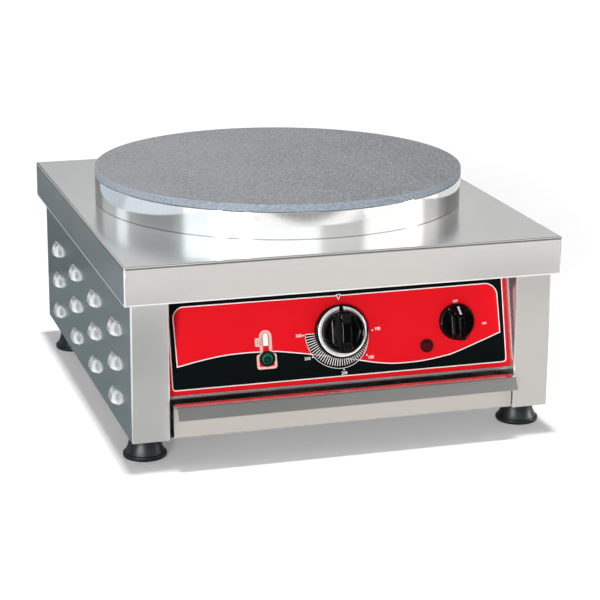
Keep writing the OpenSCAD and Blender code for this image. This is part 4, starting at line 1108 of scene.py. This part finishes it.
def build_lamp(colour, lens_d):
    """A lamp's rolled bezel and domed lens, each on its node's own centre."""
    middle = middle_of(colour + "_lamp_lens")
    place = panel_place(middle.x / MM, (middle - panel_start).dot(panel_v) / MM, FILM_TOP)
    r = lens_d / 2
    foot, shoulder, crown = -0.2, 1.5, 2.4
    rim = rounded([(r - 0.3, foot), (r + 0.4, foot), (r + 0.4, 1.0), (r + 0.1, shoulder), (r - 0.3, 0.8)],
                  [0, 0, 0.5, 0.2, 0], 4)
    made(colour + "_bezel", lathe(rim + rim[:1], LAMP_STEPS, place),
         "body", "lamp_bezel", finish=finishes[colour + "_lens"])
    dome = [(0, foot), (r - 0.1, foot), (r - 0.1, 1.0), (r - 0.3, shoulder), *(
        ((r - 0.9) * cos(a), crown - 0.6 + 0.6 * sin(a)) for a in (pi / 2 * i / 8 for i in range(8))
    ), (0, crown)]
    made(colour + "_dome", lathe(dome, LAMP_STEPS, place), "body", colour + "_lens", colour + "_lamp_lens")


build_lamp("red", 10.4)
build_lamp("green", 11.0)


# ---- floor, light and camera

CARD_LIFT = 2 * MM
# plain cards on the floor that only reflections show: name, colour and corners
CARDS = (
    ("left_card", (0.085, 0.13, 0.145), [
        (-0.27, -0.26), (-0.223, -0.26), (-0.223, 0.5), (-0.48, 0.5), (-0.48, 0.2), (-0.36, 0.12),
        (-0.29, -0.1),
    ]),
    ("left_back_card", (0.04, 0.075, 0.09), rectangle(-0.48, 0.5, -0.223, 1.4)),
    ("back_card", (0.17, 0.19, 0.20), rectangle(-0.223, 0.3, 0.24, 2.0)),
    ("blue_card", (0.60, 0.68, 0.74), rectangle(-1.4, 0.5, -0.48, 1.4)),
    ("pale_card", (0.82, 0.90, 0.97), rectangle(-1.4, -0.36, -0.48, 0.5)),
    ("right_card", (0.85, 0.85, 0.86), rectangle(0.24, 0.06, 1.5, 2.0)),
    ("white_left_card", (1.4, 1.4, 1.4), [(-1.6, -1.6), (-0.62, -1.6), (-0.5, -0.36), (-1.6, -0.36)]),
    ("white_right_card", (1.4, 1.4, 1.4), rectangle(0.62, -1.2, 1.6, 0.05)),
    ("far_front_card", (0.34, 0.34, 0.34), rectangle(-0.62, -2.5, 0.62, -1.08)),
    ("next_front_card", (1.35, 1.33, 1.32), rectangle(-0.6, -1.08, 0.62, -0.98)),
    ("front_card", (0.79, 0.75, 0.71), [(0.0, -0.98), (0.38, -0.98), (0.19, -0.262), (-0.181, -0.262)]),
    ("left_post_card", (0.47, 0.48, 0.48), [(-0.34, -0.5), (-0.1, -0.5), (-0.181, -0.262), (-0.34, -0.262)]),
    ("left_post_far_card", (0.36, 0.37, 0.38), [(-0.34, -0.8), (-0.02, -0.8), (-0.1, -0.5), (-0.34, -0.5)]),
    ("right_post_card", (0.70, 0.66, 0.63), [(0.31, -0.7), (0.62, -0.7), (0.62, -0.262), (0.19, -0.262)]),
    ("right_far_card", (0.5, 0.48, 0.46), [(0.36, -0.89), (0.62, -0.89), (0.62, -0.7), (0.31, -0.7)]),
)
# bright upright strips: degrees from the front towards its right, and the heights of both ends
STRIPS = ((-34, 0.1, 0.8), (-50, 0.1, 0.8), (70, 0.1, 1.6))
STRIP_GLOW = 250
STRIP_FAR = 1.7
STRIP_HALF = 0.015  # half a strip's width
# degrees from the front towards its right, and how bright the room's wall is there
ROOM_WALL = (
    (-180, 0.08), (-161, 0.08), (-156, 0.45), (-147, 0.5), (-138, 0.5), (-133, 1.3), (-126, 1.3),
    (-121, 0.5), (-108, 0.33), (-86, 0.36), (-78, 0.6), (-74, 2.1), (8, 2.1), (12, 1.05), (37, 0.95),
    (41, 2.1), (84, 2.1), (88, 1.0), (98, 0.9), (106, 0.3), (116, 0.08), (145, 0.08), (150, 0.5),
    (171, 0.46), (175, 0.14), (180, 0.1),
)
DESK, CEILING, REAR_GLOW = 0.08, 0.23, 0.3  # brightness of the rest of the room
CAMERA_AT = (-0.5992, -2.04725, 0.7049)
CAMERA_TOWARDS = (0.2789, 0.9196, -0.2768)
CAMERA_ROLL = -0.32  # degrees
CAMERA_LENS = 119.98  # millimetres on a 36 mm sensor


def build_stage(name, corners, material):
    mesh = bpy.data.meshes.new(name)
    mesh.from_pydata(corners, [], [tuple(range(len(corners)))])
    mesh.materials.append(material)
    sheet = new_object(name, mesh)
    return sheet


def build_floor():
    """A pale floor that the camera sees as white, apart from the object's soft shadow."""
    f = Finish("pale_floor")
    seen = f.add("ShaderNodeLightPath", output="Is Camera Ray")
    finish = f.surface(
        Base_Color=f.mix(seen, (0.93, 0.93, 0.93), (0.92, 0.92, 0.92)),
        Roughness=1.0,
        Specular_IOR_Level=0.0,
        Emission_Color=f.mix(seen, (0, 0, 0), (0.16, 0.156, 0.16)),
        Emission_Strength=1.0,
    )
    size = 40
    build_stage("floor", [(x, y, 0) for x, y in rectangle(-size, -size, size, size)], finish)


def build_card(name, corners, colour):
    """A plain glowing card that only reflections show."""
    f = Finish(name)
    shader = f.add("ShaderNodeEmission", {"Color": (*colour, 1)})
    f.add("ShaderNodeOutputMaterial", {"Surface": shader})
    card = build_stage(name, corners, f.material)
    card.visible_camera = False
    card.visible_diffuse = False
    card.visible_shadow = False


def build_strip(turn, low, high):
    """A bright upright card at an angle round the object."""
    out = Vector((sin(radians(turn)), -cos(radians(turn))))
    across = Vector((-out.y, out.x))
    left, right = (out * STRIP_FAR + across * side for side in (-STRIP_HALF, STRIP_HALF))
    corners = [(*left, low), (*right, low), (*right, high), (*left, high)]
    build_card("strip_%d" % (turn + 180), corners, (STRIP_GLOW,) * 3)


def build_world():
    """White to the camera, a soft level on matt surfaces, and a quiet room in the metal."""
    world = bpy.data.worlds.new("studio")
    world.use_nodes = True
    world.node_tree.nodes.clear()
    scene.world = world
    t = Tree(world.node_tree)
    direction = t.add("ShaderNodeTexCoord", output="Generated")
    aside, ahead, rise = (t.add("ShaderNodeSeparateXYZ", {"Vector": direction}, name) for name in "XYZ")
    turn = aside.maths("ARCTAN2", 0 - ahead) / (2 * pi) + 0.5
    stops = [((degrees + 180) / 360, level) for degrees, level in ROOM_WALL]
    levels = t.add("ShaderNodeValToRGB", {"Fac": turn}, stops=stops)
    wall = t.add("ShaderNodeRGBToBW", {"Color": levels})
    desk = t.ramp(ahead, 0.3, 0.1) * (1 - t.ramp(rise, 0.185, 0.215))
    overhead = t.ramp(rise, 0.45, 0.8)
    behind = t.ramp(ahead, 0.6, 0.8) * t.ramp(rise, 0.235, 0.275)
    room = (wall * (1 - desk) + DESK * desk) * (1 - overhead) + CEILING * overhead + REAR_GLOW * behind

    def glow(colour, strength):
        return t.add("ShaderNodeBackground", {"Color": colour, "Strength": strength})

    def seen(kind):
        return t.add("ShaderNodeLightPath", output="Is %s Ray" % kind)

    tint = t.mix(aside * 0.5 + 0.5, (0.88, 0.98, 1.02), (1.02, 0.995, 0.97))
    white = (1, 1, 1, 1)
    unseen = t.add("ShaderNodeMixShader", {0: seen("Glossy"), 1: glow(white, 0.25), 2: glow(tint, room)})
    clear = seen("Camera").maths("MAXIMUM", seen("Transmission"))
    both = t.add("ShaderNodeMixShader", {0: clear, 1: unseen, 2: glow(white, 1.0)})
    t.add("ShaderNodeOutputWorld", {"Surface": both})


def build_sun(name, strength, spread, direction):
    """Even light from one side, left out of the metal's reflections."""
    lamp = bpy.data.lights.new(name, "SUN")
    lamp.energy = strength
    lamp.angle = radians(spread)
    sun = new_object(name, lamp)
    sun.rotation_euler = Vector(direction).to_track_quat("-Z", "Y").to_euler()
    sun.visible_glossy = False


def build_camera():
    """Looks down on the front from left of its middle."""
    forward = Vector(CAMERA_TOWARDS).normalized()
    level = forward.cross(Vector((0, 0, 1))).normalized()
    right = Matrix.Rotation(radians(CAMERA_ROLL), 3, forward) @ level
    lens = bpy.data.cameras.new("camera")
    lens.sensor_width = 36
    lens.lens = CAMERA_LENS
    lens.clip_start = 0.05
    lens.clip_end = 200
    camera = new_object("camera", lens)
    turn = Matrix((right, right.cross(forward), -forward)).transposed().to_4x4()
    camera.matrix_world = Matrix.Translation(CAMERA_AT) @ turn
    scene.camera = camera


build_floor()
build_world()
build_sun("top_light", 1.95, 4, (-0.01, -0.055, -1))
build_sun("front_light", 1.95, 10, (0.5, 0.866, -0.2))
for name, colour, corners in CARDS:
    build_card(name, [(x, y, CARD_LIFT) for x, y in corners], colour)
for turn, low, high in STRIPS:
    build_strip(turn, low, high)
build_camera()
scene.view_settings.view_transform = "Standard"
